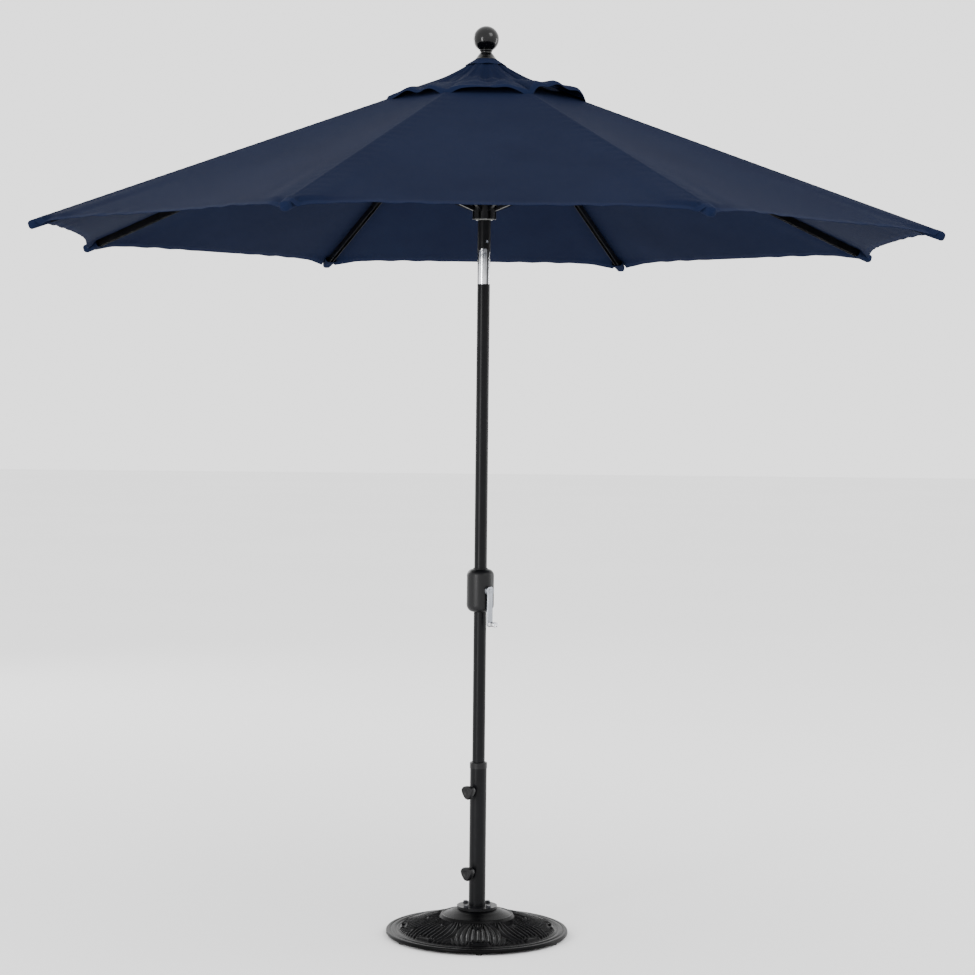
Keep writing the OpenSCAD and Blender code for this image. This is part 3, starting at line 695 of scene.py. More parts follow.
@dataclass
class Canopy:
    """The eight gores, each as two half gores that ride on their ribs, with seams and pockets."""

    bones: Skeleton
    palette: Palette
    lift: float = 0.0157
    cloth: float = 0.0011
    opening_r: float = 0.225
    hem_depth: float = 0.045
    sag: float = 0.010
    hem_droop: float = 0.016
    hem_band: float = 0.022
    rows: int = 150
    columns: int = 34
    seam_half: float = 0.0105
    fold_shift: float = 0.0085
    tuck: float = 0.016
    pucker: float = 0.0004
    pull: float = 0.0022
    drape: float = 0.0030
    ripple: float = 0.0016
    hem_step: float = 0.0007
    meet_share: float = 0.62
    pocket_len: float = 0.058
    pocket_past: float = 0.009
    pocket_girth: float = 0.105

    def corner_lines(self) -> tuple[Array, Array]:
        """Unit directions along a rib (in its own plane) and along the middle of the gore beside it."""
        b = self.bones
        mid_slope = math.atan(math.tan(b.slope) / math.cos(b.half_step))
        along_rib = np.array([math.cos(b.slope), 0.0, -math.sin(b.slope)])
        along_mid = np.array([math.cos(mid_slope) * math.cos(b.half_step),
                              math.cos(mid_slope) * math.sin(b.half_step), -math.sin(mid_slope)])
        return along_rib, along_mid

    def gore_normal(self) -> Array:
        """Outward normal of the flat half gore on the rib's left."""
        rib, mid = self.corner_lines()
        normal = np.cross(rib, mid)
        return normal / np.linalg.norm(normal)

    def apex(self) -> Array:
        """Where the rib lines of the cloth meet on the mast's axis."""
        return np.array([0.0, 0.0, self.bones.line_height(0.0, self.lift)])

    def panel(self, kind: str, rib: int, side: int, points: Array, uv: Array) -> bpy.types.Object:
        """Makes a half panel, mirrored where it lies on the rib's right.

        Args:
            kind: the first word of its name.
            rib: number of the rib it is sewn to.
            side: 1 for the rib's left, -1 for its right.
            points: its grid of points on the left of a rib along +X, rows by columns by 3.
            uv: metres across and up from the hem at each point.

        Returns:
            The new piece.
        """
        flat, faces = points.reshape(-1, 3), grid_faces(*points.shape[:2])
        if side < 0:
            flat, faces = flat * [1.0, -1.0, 1.0], faces[:, ::-1]
        name = f"{kind}_{rib}_{'left' if side > 0 else 'right'}"
        piece = make_mesh(name, self.bones.turned_to(rib, flat), faces)
        set_uv(piece, uv.reshape(-1, 2))
        return piece

    def half_gore(self, rib: int, side: int) -> bpy.types.Object:
        """One half gore as a grid from the top opening to the hem, and from the seam to the gore's middle.

        The flat panel is a straight line from the rib's line to the middle's, moved in at the hem by
        a parabola. The cloth sags from that plane by a parabola down its length times
        w(2 - w) across it, which is level at the middle, and hangs further at the hem. It puckers a
        little beside the seam, and at the tip it is tucked down the sides of the pocket.

        Args:
            rib: number of the rib it is sewn to.
            side: 1 for the half on the rib's left, seen from outside with the hem down, or -1.

        Returns:
            The new piece.
        """
        b = self.bones
        rib_dir, mid_dir = self.corner_lines()
        s, w = np.meshgrid(edged(self.rows, 0.0006), edged(self.columns, 0.0012), indexing="ij")

        def straight(radius: float) -> Array:
            """The line across the panel at a radius, from the rib's line to the middle's."""
            on_rib = radius / math.cos(b.slope)
            on_mid = radius * math.cos(b.half_step) / np.linalg.norm(mid_dir[:2])
            return (1.0 - w)[..., None] * rib_dir * on_rib + w[..., None] * mid_dir * on_mid

        inner = straight(self.opening_r)
        outer = straight(b.tip_r) - (self.hem_depth * w * (2.0 - w))[..., None] * mid_dir
        flat = inner + s[..., None] * (outer - inner)
        across = w * (2.0 - w)
        length = np.linalg.norm(flat, axis=-1)
        reach = np.linalg.norm(flat - (flat @ rib_dir)[..., None] * rib_dir, axis=-1)
        to_hem = (1.0 - s) * np.linalg.norm(outer - inner, axis=-1)
        phase = 0.9 * rib + 0.5 * side
        sag = self.sag * 4.0 * s * (1.0 - s) * across + self.hem_droop * s ** 2.2 * across ** 1.6
        near_seam = np.exp(-((reach - 0.012) / 0.028) ** 2) * smooth_step(reach / 0.008)
        pucker = self.pucker * near_seam * wave(length, 0.047, 1.3 * np.sin(length * 9.0 + phase) + phase)
        beside = np.exp(-((reach - 0.07) / 0.06) ** 2) * smooth_step((1.0 - w) / 0.2)
        pull = self.pull * beside * smooth_step((s - 0.55) / 0.45) * np.sin(reach / 0.021 + phase)
        drape = self.drape * np.sin(math.pi * across) * np.sin(length * 5.1 + 2.1 * phase) * s * (1.0 - s)
        doubled = self.hem_step * (1.0 - smooth_step((to_hem - self.hem_band) / 0.002))
        ripple = self.ripple * np.exp(-to_hem / 0.03) * wave(reach, 0.083, phase) * np.sin(math.pi * w) ** 2
        beyond = np.exp(-np.clip(reach - 0.023, 0.0, 1.0) / 0.055) * smooth_step((reach - 0.011) / 0.012)
        tuck = self.tuck * beyond * (1.0 - smooth_step(to_hem / 0.050))
        height = -sag + pucker + pull + drape + doubled + ripple - tuck
        points = self.apex() + flat + height[..., None] * self.gore_normal()
        return self.panel("gore", rib, side, points, np.stack([reach, to_hem], -1))

    def fold_axis(self, rib: int, side: int) -> Array:
        """Direction that a half gore gathers along: in its own plane, square to the rib."""
        rib_dir, _ = self.corner_lines()
        axis = np.cross(self.gore_normal(), rib_dir) * [1.0, side, 1.0]
        return self.bones.turned_to(rib, axis[None])[0]

    def fold_keep(self, at_radius: float, shift: float) -> float:
        """Share of its width that a half gore keeps when shut, so that neighbours just meet.

        The gathered middle line at the given radius is turned down with the rib, and its distance
        from the plane between two ribs is linear in the share kept, so two tries give the share.

        Args:
            at_radius: where along the ribs, as an open radius, the cloths meet.
            shift: how far beside the rib the gathering's fixed line lies.

        Returns:
            The share.
        """
        b = self.bones
        rib_dir, mid_dir = self.corner_lines()
        axis = np.cross(self.gore_normal(), rib_dir)
        reach = at_radius * math.cos(b.half_step) / float(np.linalg.norm(mid_dir[:2]))
        point = self.apex() + reach * mid_dir
        pivot = np.array([b.pivot_r, 0.0, b.hub_z])

        def miss(keep: float) -> float:
            """Distance past the plane between the ribs, at this share."""
            beside = float((point - self.apex()) @ axis) - shift
            p = point - (1.0 - keep) * beside * axis - pivot
            out = math.cos(b.fold) * p[0] + math.sin(b.fold) * p[2] + pivot[0]
            return float(p[1]) - out * math.tan(b.half_step)

        low, high = miss(0.0), miss(1.0)
        return -low / (high - low)

    def gather(self, piece: bpy.types.Object, rib: int, side: int, keep: float, shift: float) -> None:
        """Dresses and thickens a half panel, and attaches it to its rib.

        Args:
            piece: the half panel.
            rib: the rib it rides on.
            side: 1 for the rib's left, -1 for its right.
            keep: share of its width that is left when shut. Not used.
            shift: how far beside the rib the gathering's fixed line lies.
        """
        self.palette.dress(piece, Finish.CANVAS)
        thicken(piece, self.cloth)
        axis = self.fold_axis(rib, side)
        anchor = self.bones.turned_to(rib, self.apex()[None])[0] + shift * axis
        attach(piece, f"rib_{rib}")
        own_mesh(piece)

    def seam(self, rib: int) -> bpy.types.Object:
        """The felled seam over one rib: a low arched band that follows both gores down the rib."""
        b = self.bones
        rib_dir, _ = self.corner_lines()
        normal = self.gore_normal()
        side_dir = np.cross(normal, rib_dir)
        reach = np.linspace(self.opening_r, b.tip_r - 0.006, 120) / math.cos(b.slope)
        t = np.linspace(-1.0, 1.0, 9)
        bulge = 0.0011 * (1.0 - t ** 4) + 0.0001
        arch = bulge + 0.0003 * wave(reach, 0.031)[:, None] * (1.0 - t ** 2)
        mirror = np.where(t < 0, -1.0, 1.0)[:, None] ** np.array([0.0, 1.0, 0.0])
        beside = np.abs(t)[:, None] * self.seam_half * side_dir * mirror
        up = np.array([normal[0], 0.0, normal[2]]) / math.hypot(normal[0], normal[2])
        points = self.apex() + reach[:, None, None] * rib_dir + beside + arch[..., None] * up
        piece = make_mesh(f"seam_{rib}", b.turned_to(rib, points.reshape(-1, 3)),
                          grid_faces(len(reach), len(t)))
        past_hem = 0.05
        from_tip = (reach[-1] - reach)[:, None] + past_hem
        uv = np.stack(np.broadcast_arrays(t[None] * self.seam_half, from_tip), -1)
        set_uv(piece, uv.reshape(-1, 2))
        return piece

    def pocket(self, rib: int) -> bpy.types.Object:
        """The sewn pocket that holds a rib's tip: a flat oval sleeve that closes round at the tip.

        Its sections are rounded rectangles square to the rib. They widen towards the canopy and
        shrink to nothing over the last few millimetres.
        """
        b = self.bones
        rib_dir, _ = self.corner_lines()
        up = np.array([math.sin(b.slope), 0.0, math.cos(b.slope)])
        side = np.array([0.0, 1.0, 0.0])
        end = b.tip_r / math.cos(b.slope) + self.pocket_past
        s = np.linspace(0.0, 1.0, 34)
        reach = end - self.pocket_len * (1.0 - s)
        close = np.sqrt(np.clip(1.0 - np.clip((s - 0.83) / 0.17, 0.0, 1.0) ** 2.2, 0.0, 1.0))
        width = (0.0125 + 0.0075 * (1.0 - s) ** 1.5) * np.maximum(close, 0.02)
        tall = (0.0122 + 0.0006 * (1.0 - s)) * np.maximum(close, 0.02)
        rim, squareness, below_line = 40, 3.2, 0.0112
        angle = full_turn(rim)
        c, q = np.cos(angle), np.sin(angle)
        box = (np.abs(c) ** squareness + np.abs(q) ** squareness) ** (-1.0 / squareness)
        crease = 1.0 + 0.014 * np.sin(s * 31.0 + rib)[:, None] * np.sin(3.0 * angle)[None]
        y = width[:, None] * (box * c)[None] * crease
        z = tall[:, None] * (box * q)[None] * crease - below_line
        points = self.apex() + reach[:, None, None] * rib_dir + y[..., None] * side + z[..., None] * up
        nose = points[-1].mean(0)[None] + 0.0004 * rib_dir
        flat = np.vstack([points.reshape(-1, 3), nose])
        last = (len(s) - 1) * rim + np.arange(rim)
        cap = np.stack([last, np.roll(last, -1), np.full(rim, len(flat) - 1)], -1)
        faces = grid_faces(len(s), rim, close_columns=True).tolist() + cap.tolist()
        piece = make_mesh(f"tip_pocket_{rib}", b.turned_to(rib, flat), faces)
        uv = np.broadcast_arrays(angle * 0.016, (end - reach)[:, None] * 0.5)
        set_uv(piece, np.vstack([np.stack(uv, -1).reshape(-1, 2), [[0.0, 0.0]]]))
        return piece

    def flat_area(self) -> float:
        """Flat area of a half gore: the triangle between its lines, less the opening and the hem's curve."""
        b = self.bones
        rib_dir, mid_dir = self.corner_lines()
        between = float(np.linalg.norm(np.cross(rib_dir, mid_dir)))
        per_square = 0.5 * between / math.cos(b.slope) * math.cos(b.half_step)
        per_square /= float(np.linalg.norm(mid_dir[:2]))
        chord = b.tip_r * math.sin(b.half_step)
        return per_square * (b.tip_r ** 2 - self.opening_r ** 2) - 2.0 / 3.0 * self.hem_depth * chord

    def build(self) -> int:
        """Makes the whole canopy below the vent cap and returns the number of pieces."""
        b = self.bones
        keep = self.fold_keep(self.meet_share * b.tip_r, self.fold_shift)
        for rib in range(1, b.count + 1):
            seam, pocket = self.seam(rib), self.pocket(rib)
            for piece in (seam, pocket):
                self.palette.dress(piece, Finish.CANVAS)
                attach(piece, f"rib_{rib}")
            thicken(pocket, self.cloth)
            for side in (1, -1):
                half = self.half_gore(rib, side)
                self.gather(half, rib, side, keep, self.fold_shift)
                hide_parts(f"canopy_{rib}")
                self.flat_area()
        LOG.info("canopy: %d pieces, half gores keep %.3f when shut", 4 * b.count, keep)
        return 4 * b.count


@dataclass
class VentCap:
    """The small upper canopy over the top opening, creased round the finial and lifted at its hem."""

    canopy: Canopy
    rim_r: float = 0.322
    top_r: float = 0.033
    meet_r: float = 0.22
    drop: float = 0.016
    over: float = 0.0065
    hump_r: float = 0.150
    hump: float = 0.0300
    area_share: float = 0.56
    patch_flat: float = 0.122
    patch_area: float = 0.0098
    rows: int = 60
    columns: int = 26
    lifts: tuple[float, ...] = (0.012, 0.009, 0.012, 0.014, 0.016, 0.020, 0.033, 0.013)
    squareness: tuple[float, ...] = (2.4, 2.8, 2.4, 2.6, 3.2, 4.0, 7.0, 2.6)

    def height(self, radius: Array) -> Array:
        """Height of the cap along a rib: the canopy's line plus a little, rising steeper near the hub."""
        b = self.canopy.bones
        line = b.line_height(radius, self.canopy.lift) + self.over
        return line + self.hump * np.clip(1.0 - radius / self.hump_r, 0.0, 1.0) ** 1.7

    def swell(self, q: Array, s: Array, gore: int) -> Array:
        """How far the cloth stands off the flat cap inside one gore.

        The hem is blown up by the gore's lift times 1 - |q|^p, fading in from a third of the way
        down. Soft pleats fan from the finial, and two slanted waves crumple the rest.

        Args:
            q: across the gore, from -1 at one rib to 1 at the next.
            s: down the gore, from 0 at the finial to 1 at the hem.
            gore: the gore's number.

        Returns:
            Heights in metres, 0 on both ribs.
        """
        k = (gore - 1) % len(self.lifts)
        shut = 1.0 - q ** 2
        blown = smooth_step((s - 0.30) / 0.62) ** 1.2
        raised = self.lifts[k] * (1.0 - np.abs(q) ** self.squareness[k]) * blown
        pleats = 0.0072 * np.exp(-((s - 0.26) / 0.20) ** 2) * (
            np.sin(2.3 * math.pi * q + 1.9 * gore) - 0.7 * np.abs(np.sin(3.4 * q + 1.1 * gore)) * 2.0 + 0.7)
        crumple = 0.0056 * np.sin(8.0 * s + 3.6 * q + gore) * np.sin(13.0 * s - 4.4 * q + 2.0 * gore)
        folds = 0.0036 * np.abs(np.sin(5.2 * s + 2.6 * q + 0.7 * gore)) ** 0.7 * smooth_step((s - 0.3) / 0.3)
        hem = 0.0035 * np.sin(6.3 * q + 2.0 * gore) * smooth_step((s - 0.7) / 0.3)
        dip = -0.0070 * np.sin(math.pi * s)
        return raised + shut * (pleats * smooth_step(s / 0.1) + (crumple - folds) * smooth_step(s / 0.25)
                                + hem + dip)

    def half(self, rib: int, side: int) -> bpy.types.Object:
        """Half of one vent gore, from the rib to the gore's middle.

        The flat cap is eight-sided: its radius shrinks from a rib to the middle of a gore. The hem
        is turned down, mostly at the ribs.

        Args:
            rib: the rib it rides on.
            side: 1 for the rib's left, -1 for its right.

        Returns:
            The new piece.
        """
        b = self.canopy.bones
        gore = rib if side > 0 else (rib - 2) % b.count + 1
        s, w = np.meshgrid(edged(self.rows, 0.003), edged(self.columns, 0.006), indexing="ij")
        q = side * (w - 1.0)
        angle = w * b.half_step
        straight = self.top_r + (self.rim_r - self.top_r) * s
        octagon = 1.0 - (1.0 - math.cos(b.half_step)) * (1.0 - q ** 2) * smooth_step(s / 0.25)
        fall = smooth_step((s - 0.950) / 0.050)
        radius = straight * octagon - 0.006 * fall
        z = self.height(straight) + self.swell(q, s, gore) - (0.003 + self.drop * q ** 4) * fall
        points = polar(radius, angle, z).reshape(*s.shape, 3)
        uv = np.stack([radius * angle, (1.0 - s) * (self.rim_r - self.top_r)], -1)
        return self.canopy.panel("vent", rib, side, points, uv)

    def crown(self) -> bpy.types.Object:
        """The round patch of the same cloth that is clamped under the finial over the cap's top."""
        rows, sides = 14, 96
        radius = np.linspace(0.030, 0.060, rows)[:, None]
        angle = full_turn(sides)
        ruffle = 0.0009 * np.sin(8.0 * angle + 1.0)[None] * smooth_step((radius - 0.036) / 0.02)
        z = self.height(radius) + 0.0022 + ruffle
        piece = make_mesh("crown_patch", polar(radius, angle, z), grid_faces(rows, sides, close_columns=True))
        uv = np.broadcast_arrays(radius * angle, radius[-1] - radius)
        set_uv(piece, np.stack(uv, -1).reshape(-1, 2))
        return piece

    def build(self) -> int:
        """Makes the cap's sixteen halves and the crown patch, and returns the number of pieces."""
        c = self.canopy
        b = c.bones
        keep = c.fold_keep(self.meet_r, 0.0)
        for rib in range(1, b.count + 1):
            for side in (1, -1):
                half = self.half(rib, side)
                c.gather(half, rib, side, keep, 0.0)
                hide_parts("vent_cap")
        crown = self.crown()
        c.palette.dress(crown, Finish.CANVAS)
        thicken(crown, c.cloth)
        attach(crown, "top")
        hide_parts("vent_cap")
        LOG.info("vent cap: %d pieces", 2 * b.count + 1)
        return 2 * b.count + 1


# ---------------------------------------------------------------- base

@dataclass
class CastBase:
    """The round cast plate with eight fan motifs, a double rim and a stepped centre."""

    palette: Palette
    motifs: int = 8
    pitch: float = 0.235
    relief: float = 0.0062
    sides: int = 800
    rim_z: float = 0.018
    dome_in: float = 0.108
    fan_in: float = 0.110
    rim_width: float = 0.036
    hole_r: float = 0.0152
    wall: float = 0.009

    def profile(self, r: Array, rim_r: float, top_z: float) -> Array:
        """Height of the plate's top at each radius, without the fans: rim, dome, step and centre."""
        dome_in, dome_out = self.dome_in, rim_r - 0.0315
        t = np.clip((dome_out - r) / (dome_out - dome_in), 0.0, 1.0)
        z = self.rim_z + (top_z - 0.022 - self.rim_z) * (1.2 * t - 0.2 * t * t)
        step = smooth_step((dome_in + 0.001 - r) / 0.003)
        centre = (top_z - 0.018) + 0.016 * np.clip((0.102 - r) / 0.040, 0.0, 1.0)
        z = np.where(r < dome_in + 0.001, z + (centre - z) * step, z)

        def ring(at: float, wide: float, tall: float) -> Array:
            """A flat-topped ring of the given radius, half width and height."""
            return tall * np.exp(-(((r - at) / wide) ** 4))

        z = z + ring(dome_in - 0.002, 0.0034, 0.0022) + ring(0.0640, 0.0030, 0.0020)
        z = z + ring(rim_r - 0.0210, 0.0050, 0.0016) - ring(rim_r - 0.0125, 0.0018, 0.0028)
        z = z - ring(rim_r - 0.0290, 0.0022, 0.0020)
        edge = np.clip((r - (rim_r - 0.0045)) / 0.0045, 0.0, 1.0)
        return z - 0.0045 * (1.0 - np.sqrt(np.clip(1.0 - edge ** 2, 0.0, 1.0)))

    def fans(self, r: Array, angle: Array, rim_r: float) -> Array:
        """Relief of the fan motifs, from 0 to 1.

        In one motif's sector x runs from -1 to 1 across and t from 0 at the inner ring to 1 at the
        rim. Rounded ribs follow lines of constant x / w(t), where w bulges halfway out, so that they
        leave the inner ring, swell outwards like petals and draw together again at a small scroll.
        The lines go on past the motif's edge and meet its neighbour's. A little fan fills the top.

        Args:
            r: radii.
            angle: angles in radians.
            rim_r: the plate's radius.

        Returns:
            The relief.
        """
        sector = 2.0 * math.pi / self.motifs
        x = (np.mod(angle + math.pi / 2.0 + sector / 2.0, sector) - sector / 2.0) / (sector / 2.0)
        t = np.clip((r - self.fan_in) / (rim_r - self.rim_width - self.fan_in), 0.0, 1.0)
        spread = x / (0.50 + 0.46 * np.sin(math.pi * (0.12 + 0.80 * t)))
        ribs = np.abs(np.cos(math.pi * spread / self.pitch)) ** 1.2
        edge = np.abs(spread) / (4.0 * self.pitch)
        ribs = ribs * (1.0 - 0.9 * np.exp(-((edge - 1.12) / 0.05) ** 2))
        ribs = np.maximum(ribs, np.exp(-((edge - 1.24) / 0.06) ** 2))
        ribs = ribs * smooth_step((t - 0.01) / 0.05) * smooth_step((0.985 - t) / 0.05)
        arch = np.hypot(x / 0.33, t / 0.30)
        small = np.abs(np.cos(math.pi * x / 0.145)) ** 1.2 * smooth_step((0.80 - arch) / 0.15)
        small = np.maximum(0.8 * small, np.exp(-((arch - 0.98) / 0.09) ** 2))
        top = smooth_step((1.22 - arch) / 0.10)
        scroll_x = np.abs(x) - 0.26
        curl = np.hypot(scroll_x / 0.085, (t - 0.905) / 0.062)
        bar = np.exp(-((t - 0.925) / 0.030) ** 2) * smooth_step((0.26 - np.abs(x)) / 0.04)
        scroll = np.maximum(bar, np.exp(-((curl - 0.7) / 0.35) ** 2))
        foot = smooth_step((1.25 - np.hypot(x / 0.36, (t - 0.92) / 0.11)) / 0.2)
        relief = ribs * (1.0 - top) + small * top * smooth_step((t - 0.01) / 0.04)
        relief = relief * (1.0 - foot) + scroll * foot * smooth_step((0.99 - t) / 0.03)
        return np.clip(relief, 0.0, 1.0)

    def plate(self) -> bpy.types.Object:
        """The plate's top with its relief, its edge, and a plain underside, as one closed mesh."""
        low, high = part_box("base_plate")
        rim_r, top_z, under = high.x, high.z, low.z
        bands = [(self.hole_r, 0.100, 8), (0.101, 0.1155, 12), (0.117, rim_r - self.rim_width, 60),
                 (rim_r - 0.0345, rim_r - 0.0002, 26)]
        r = np.concatenate([np.linspace(a, b, n) for a, b, n in bands])
        angle = full_turn(self.sides)
        rr, aa = np.meshgrid(r, angle, indexing="ij")
        fan = self.fans(rr, aa, rim_r)
        field_in, field_out = smooth_step((rr - 0.1095) / 0.004), smooth_step((rim_r - 0.034 - rr) / 0.004)
        z = self.profile(rr, rim_r, top_z) + self.relief * (fan - 0.55) * field_in * field_out
        z = np.minimum(z, top_z)
        inside = top_z - self.wall
        below = [(rim_r, 0.012), (rim_r, under + 0.002), (rim_r - 0.0015, under), (rim_r - 0.027, under),
                 (rim_r - 0.034, 0.012), (0.200, 0.024), (0.150, 0.040), (0.108, 0.050),
                 (0.060, inside), (self.hole_r, inside)]
        br, bz = np.array(below).T[:, :, None]
        rings_r = np.vstack([rr, np.broadcast_to(br, (len(br), self.sides))])
        rings_z = np.vstack([z, np.broadcast_to(bz, (len(bz), self.sides))])
        faces = grid_faces(len(rings_r), self.sides, close_rows=True, close_columns=True)
        piece = make_mesh("cast_plate", polar(rings_r, angle, rings_z), faces)
        # relief height of the fans, used by the cast finish for its wear and painted highlight on the ridges
        ridge = np.vstack([0.15 + 0.85 * fan, np.full((len(br), self.sides), 0.3)])
        set_number(piece, "ridge", ridge.ravel())
        return piece

    def build(self) -> int:
        """Makes the plate and returns the number of pieces."""
        piece = self.plate()
        self.palette.dress(piece, Finish.CAST)
        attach(piece, "base")
        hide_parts("base_plate")
        LOG.info("base: cast plate with %d fans", self.motifs)
        return 1


# ---------------------------------------------------------------- mast fittings

@dataclass
class Fittings:
    """The finial, the crank housing, the crank, the knobs and the flange bolts."""

    palette: Palette
    bore_r: float = 0.0191
    housing_r: float = 0.0405
    housing_wall: float = 0.0026
    arm_start: float = 0.0465
    arm_thick: float = 0.0068
    arm_length: float = 0.098
    arm_half: float = 0.0105
    screw_seat: float = 0.0535
    grip_start: float = 0.0538
    grip_length: float = 0.0285
    knob_r: float = 0.0230
    knob_thick: float = 0.0200
    knob_start: float = 0.0395

    def joint(self, name: str) -> dict:
        """A joint of the frame by its name."""
        return next(j for j in frame["joints"] if j["name"] == name)

    def joint_frame(self, name: str) -> Matrix:
        """A matrix that takes +Z to a joint's axis and +X to straight down, at its height on the mast.

        Args:
            name: the joint's name.

        Returns:
            The matrix.
        """
        joint = self.joint(name)
        axis = Vector(joint["axis"]).normalized()
        down = Vector((0.0, 0.0, -1.0))
        side = axis.cross(down)
        turn = Matrix((down, side, axis)).transposed().to_4x4()
        turn.translation = Vector((0.0, 0.0, joint["pos_m"][2]))
        return turn

    def finial(self) -> bpy.types.Object:
        """The ball finial: a turned foot with two steps, a waist, a small collar and the ball."""
        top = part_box("finial")[1].z
        seat, ball_r = top - 0.113, 0.0378
        neck = math.degrees(math.acos(0.0192 / ball_r))
        rows = [arc((0.0, top - ball_r), ball_r, 90.0, -neck, 60),
                arc((0.0158, seat + 0.0418), 0.0040, 55.0, -60.0, 9),
                np.array([[0.0172, seat + 0.0355], [0.0178, seat + 0.0335]]),
                np.array([[0.0205 + 0.0045 * k, seat + 0.0310 - 0.0062 * k ** 1.05] for k in range(3)]),
                arc((0.0290, seat + 0.0150), 0.0030, 75.0, -10.0, 8),
                np.array([[0.0310, seat + 0.0125]]),
                arc((0.0322, seat + 0.0060), 0.0034, 80.0, 0.0, 8),
                np.array([[0.0356, seat + 0.0010], [0.0348, seat + 0.0000], [0.0300, seat],
                          [0.0300, seat - 0.0030], [0.0, seat - 0.0030]])]
        piece = turned("ball_finial", np.vstack(rows), 96)
        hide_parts("finial")
        return piece

    def housing_half(self, front: bool) -> bpy.types.Object:
        """Half of the crank housing: a rounded capsule round the mast, with a fine parting groove.

        Args:
            front: the half that the crank comes out of, or the other.

        Returns:
            The new piece.
        """
        low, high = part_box("housing_front")
        axis = self.joint("crank_turn")["axis"]
        turn = math.degrees(math.atan2(axis[1], axis[0]))
        r, bore, neck, sleeve = self.housing_r, self.bore_r, 0.0222, 0.0228
        top, bottom = high.z - 0.003, low.z
        shoulder, foot = 0.0190, 0.0215
        outer = np.vstack([
            [[bore, top + 0.003], [neck - 0.0006, top + 0.003], [neck, top + 0.0024], [neck, top + 0.0004]],
            arc((r - shoulder, top - shoulder), shoulder, 86.0, 0.0, 22),
            arc((r - foot, bottom + foot), foot, 0.0, -68.0, 18),
            [[sleeve + 0.004, bottom + 0.0016], [sleeve, bottom + 0.0004], [sleeve - 0.0006, bottom],
             [bore, bottom]]])
        inner = outer[::-1].copy()
        inner[:, 0] = np.maximum(inner[:, 0] - self.housing_wall, bore)
        inwards = np.where(inner[:, 1] > (top + bottom) / 2.0, -self.housing_wall, self.housing_wall)
        inner[:, 1] += inwards * (inner[:, 0] > bore + 0.0004)
        loop = np.vstack([outer, inner])
        gap, sides = 0.45, 64
        begin = turn - 90.0 + gap if front else turn + 90.0 + gap
        angle = np.radians(begin + (180.0 - 2.0 * gap) * np.arange(sides + 1) / sides)
        n, half = len(loop), len(outer)
        faces = grid_faces(n, sides + 1, close_rows=True)[:, ::-1].tolist()
        for column, flip in ((0, False), (sides, True)):
            ring = [k * (sides + 1) + column for k in range(n)]
            for k in range(half - 1):
                quad = (ring[k], ring[k + 1], ring[n - 2 - k], ring[n - 1 - k])
                faces.append(quad if flip else quad[::-1])
        name = "housing_shell_front" if front else "housing_shell_rear"
        piece = make_mesh(name, polar(loop[:, :1], angle, loop[:, 1:]), faces)
        merge_doubles(piece)
        split = piece.modifiers.new("edges", "EDGE_SPLIT")
        split.split_angle = math.radians(50.0)
        return piece

    def spindle_boss(self) -> bpy.types.Object:
        """The round boss that the crank's spindle comes out of, with a filleted foot on the housing."""
        profile = np.vstack([[[0.0052, 0.0412]], arc((0.0118, 0.0404), 0.0008, 90.0, 0.0, 5),
                             arc((0.0165, 0.0410), 0.0039, 190.0, 258.0, 8),
                             [[0.0170, 0.0345], [0.0052, 0.0345]], [[0.0052, 0.0412]]])
        return aim(turned("spindle_boss", profile, 56), self.joint_frame("crank_turn"))

    def arm_hub(self) -> bpy.types.Object:
        """The bright hub between the housing and the arm, with a turned groove round it."""
        profile = np.array([[0.0053, 0.0470], [0.0110, 0.0470], [0.0122, 0.0464], [0.0124, 0.0452],
                            [0.0118, 0.0446], [0.0118, 0.0440], [0.0124, 0.0434], [0.0124, 0.0421],
                            [0.0119, 0.0417], [0.0053, 0.0417], [0.0053, 0.0470]])
        return aim(turned("crank_hub", profile, 72), self.joint_frame("crank_turn"))

    def crank_arm(self) -> bpy.types.Object:
        """The plated arm: a flat bar with a round eye at the spindle, narrowing a little to its end."""
        half = self.arm_half
        waist, shoulder = half * 0.88, half * 0.90
        outline = np.vstack([arc((0.0, 0.0), half + 0.0028, 52.0, 308.0, 36),
                             [[0.0130, -shoulder], [0.030, -waist]],
                             arc((self.arm_length, 0.0), half - 0.0012, -90.0, 90.0, 20),
                             [[0.030, waist], [0.0130, shoulder]]])
        piece = plate("crank_bar", outline, self.arm_start, self.arm_start + self.arm_thick)
        aim(piece, self.joint_frame("crank_turn"))
        round_edges(piece, 0.0018, 4)
        return piece

    def crank_grip(self) -> bpy.types.Object:
        """The turning grip at the arm's end: a waisted, hollow-ended sleeve on its pin."""
        x = np.linspace(0.0, 1.0, 22)
        length, start = self.grip_length, self.grip_start
        waist = 0.0082 - 0.0013 * np.sin(math.pi * x) ** 1.4
        body = np.stack([waist, start + length * (1.0 - x)], -1)
        lip = arc((0.0070, start + length), 0.0012, 0.0, 150.0, 8)[::-1]
        profile = np.vstack([[[0.0, start + length - 0.0022], [0.0040, start + length - 0.0022]], lip, body,
                             [[0.0060, start - 0.0003], [0.0, start - 0.0003]]])
        shift = Matrix.Translation((self.arm_length, 0.0, 0.0))
        return aim(turned("crank_sleeve", profile, 48), self.joint_frame("crank_turn") @ shift)

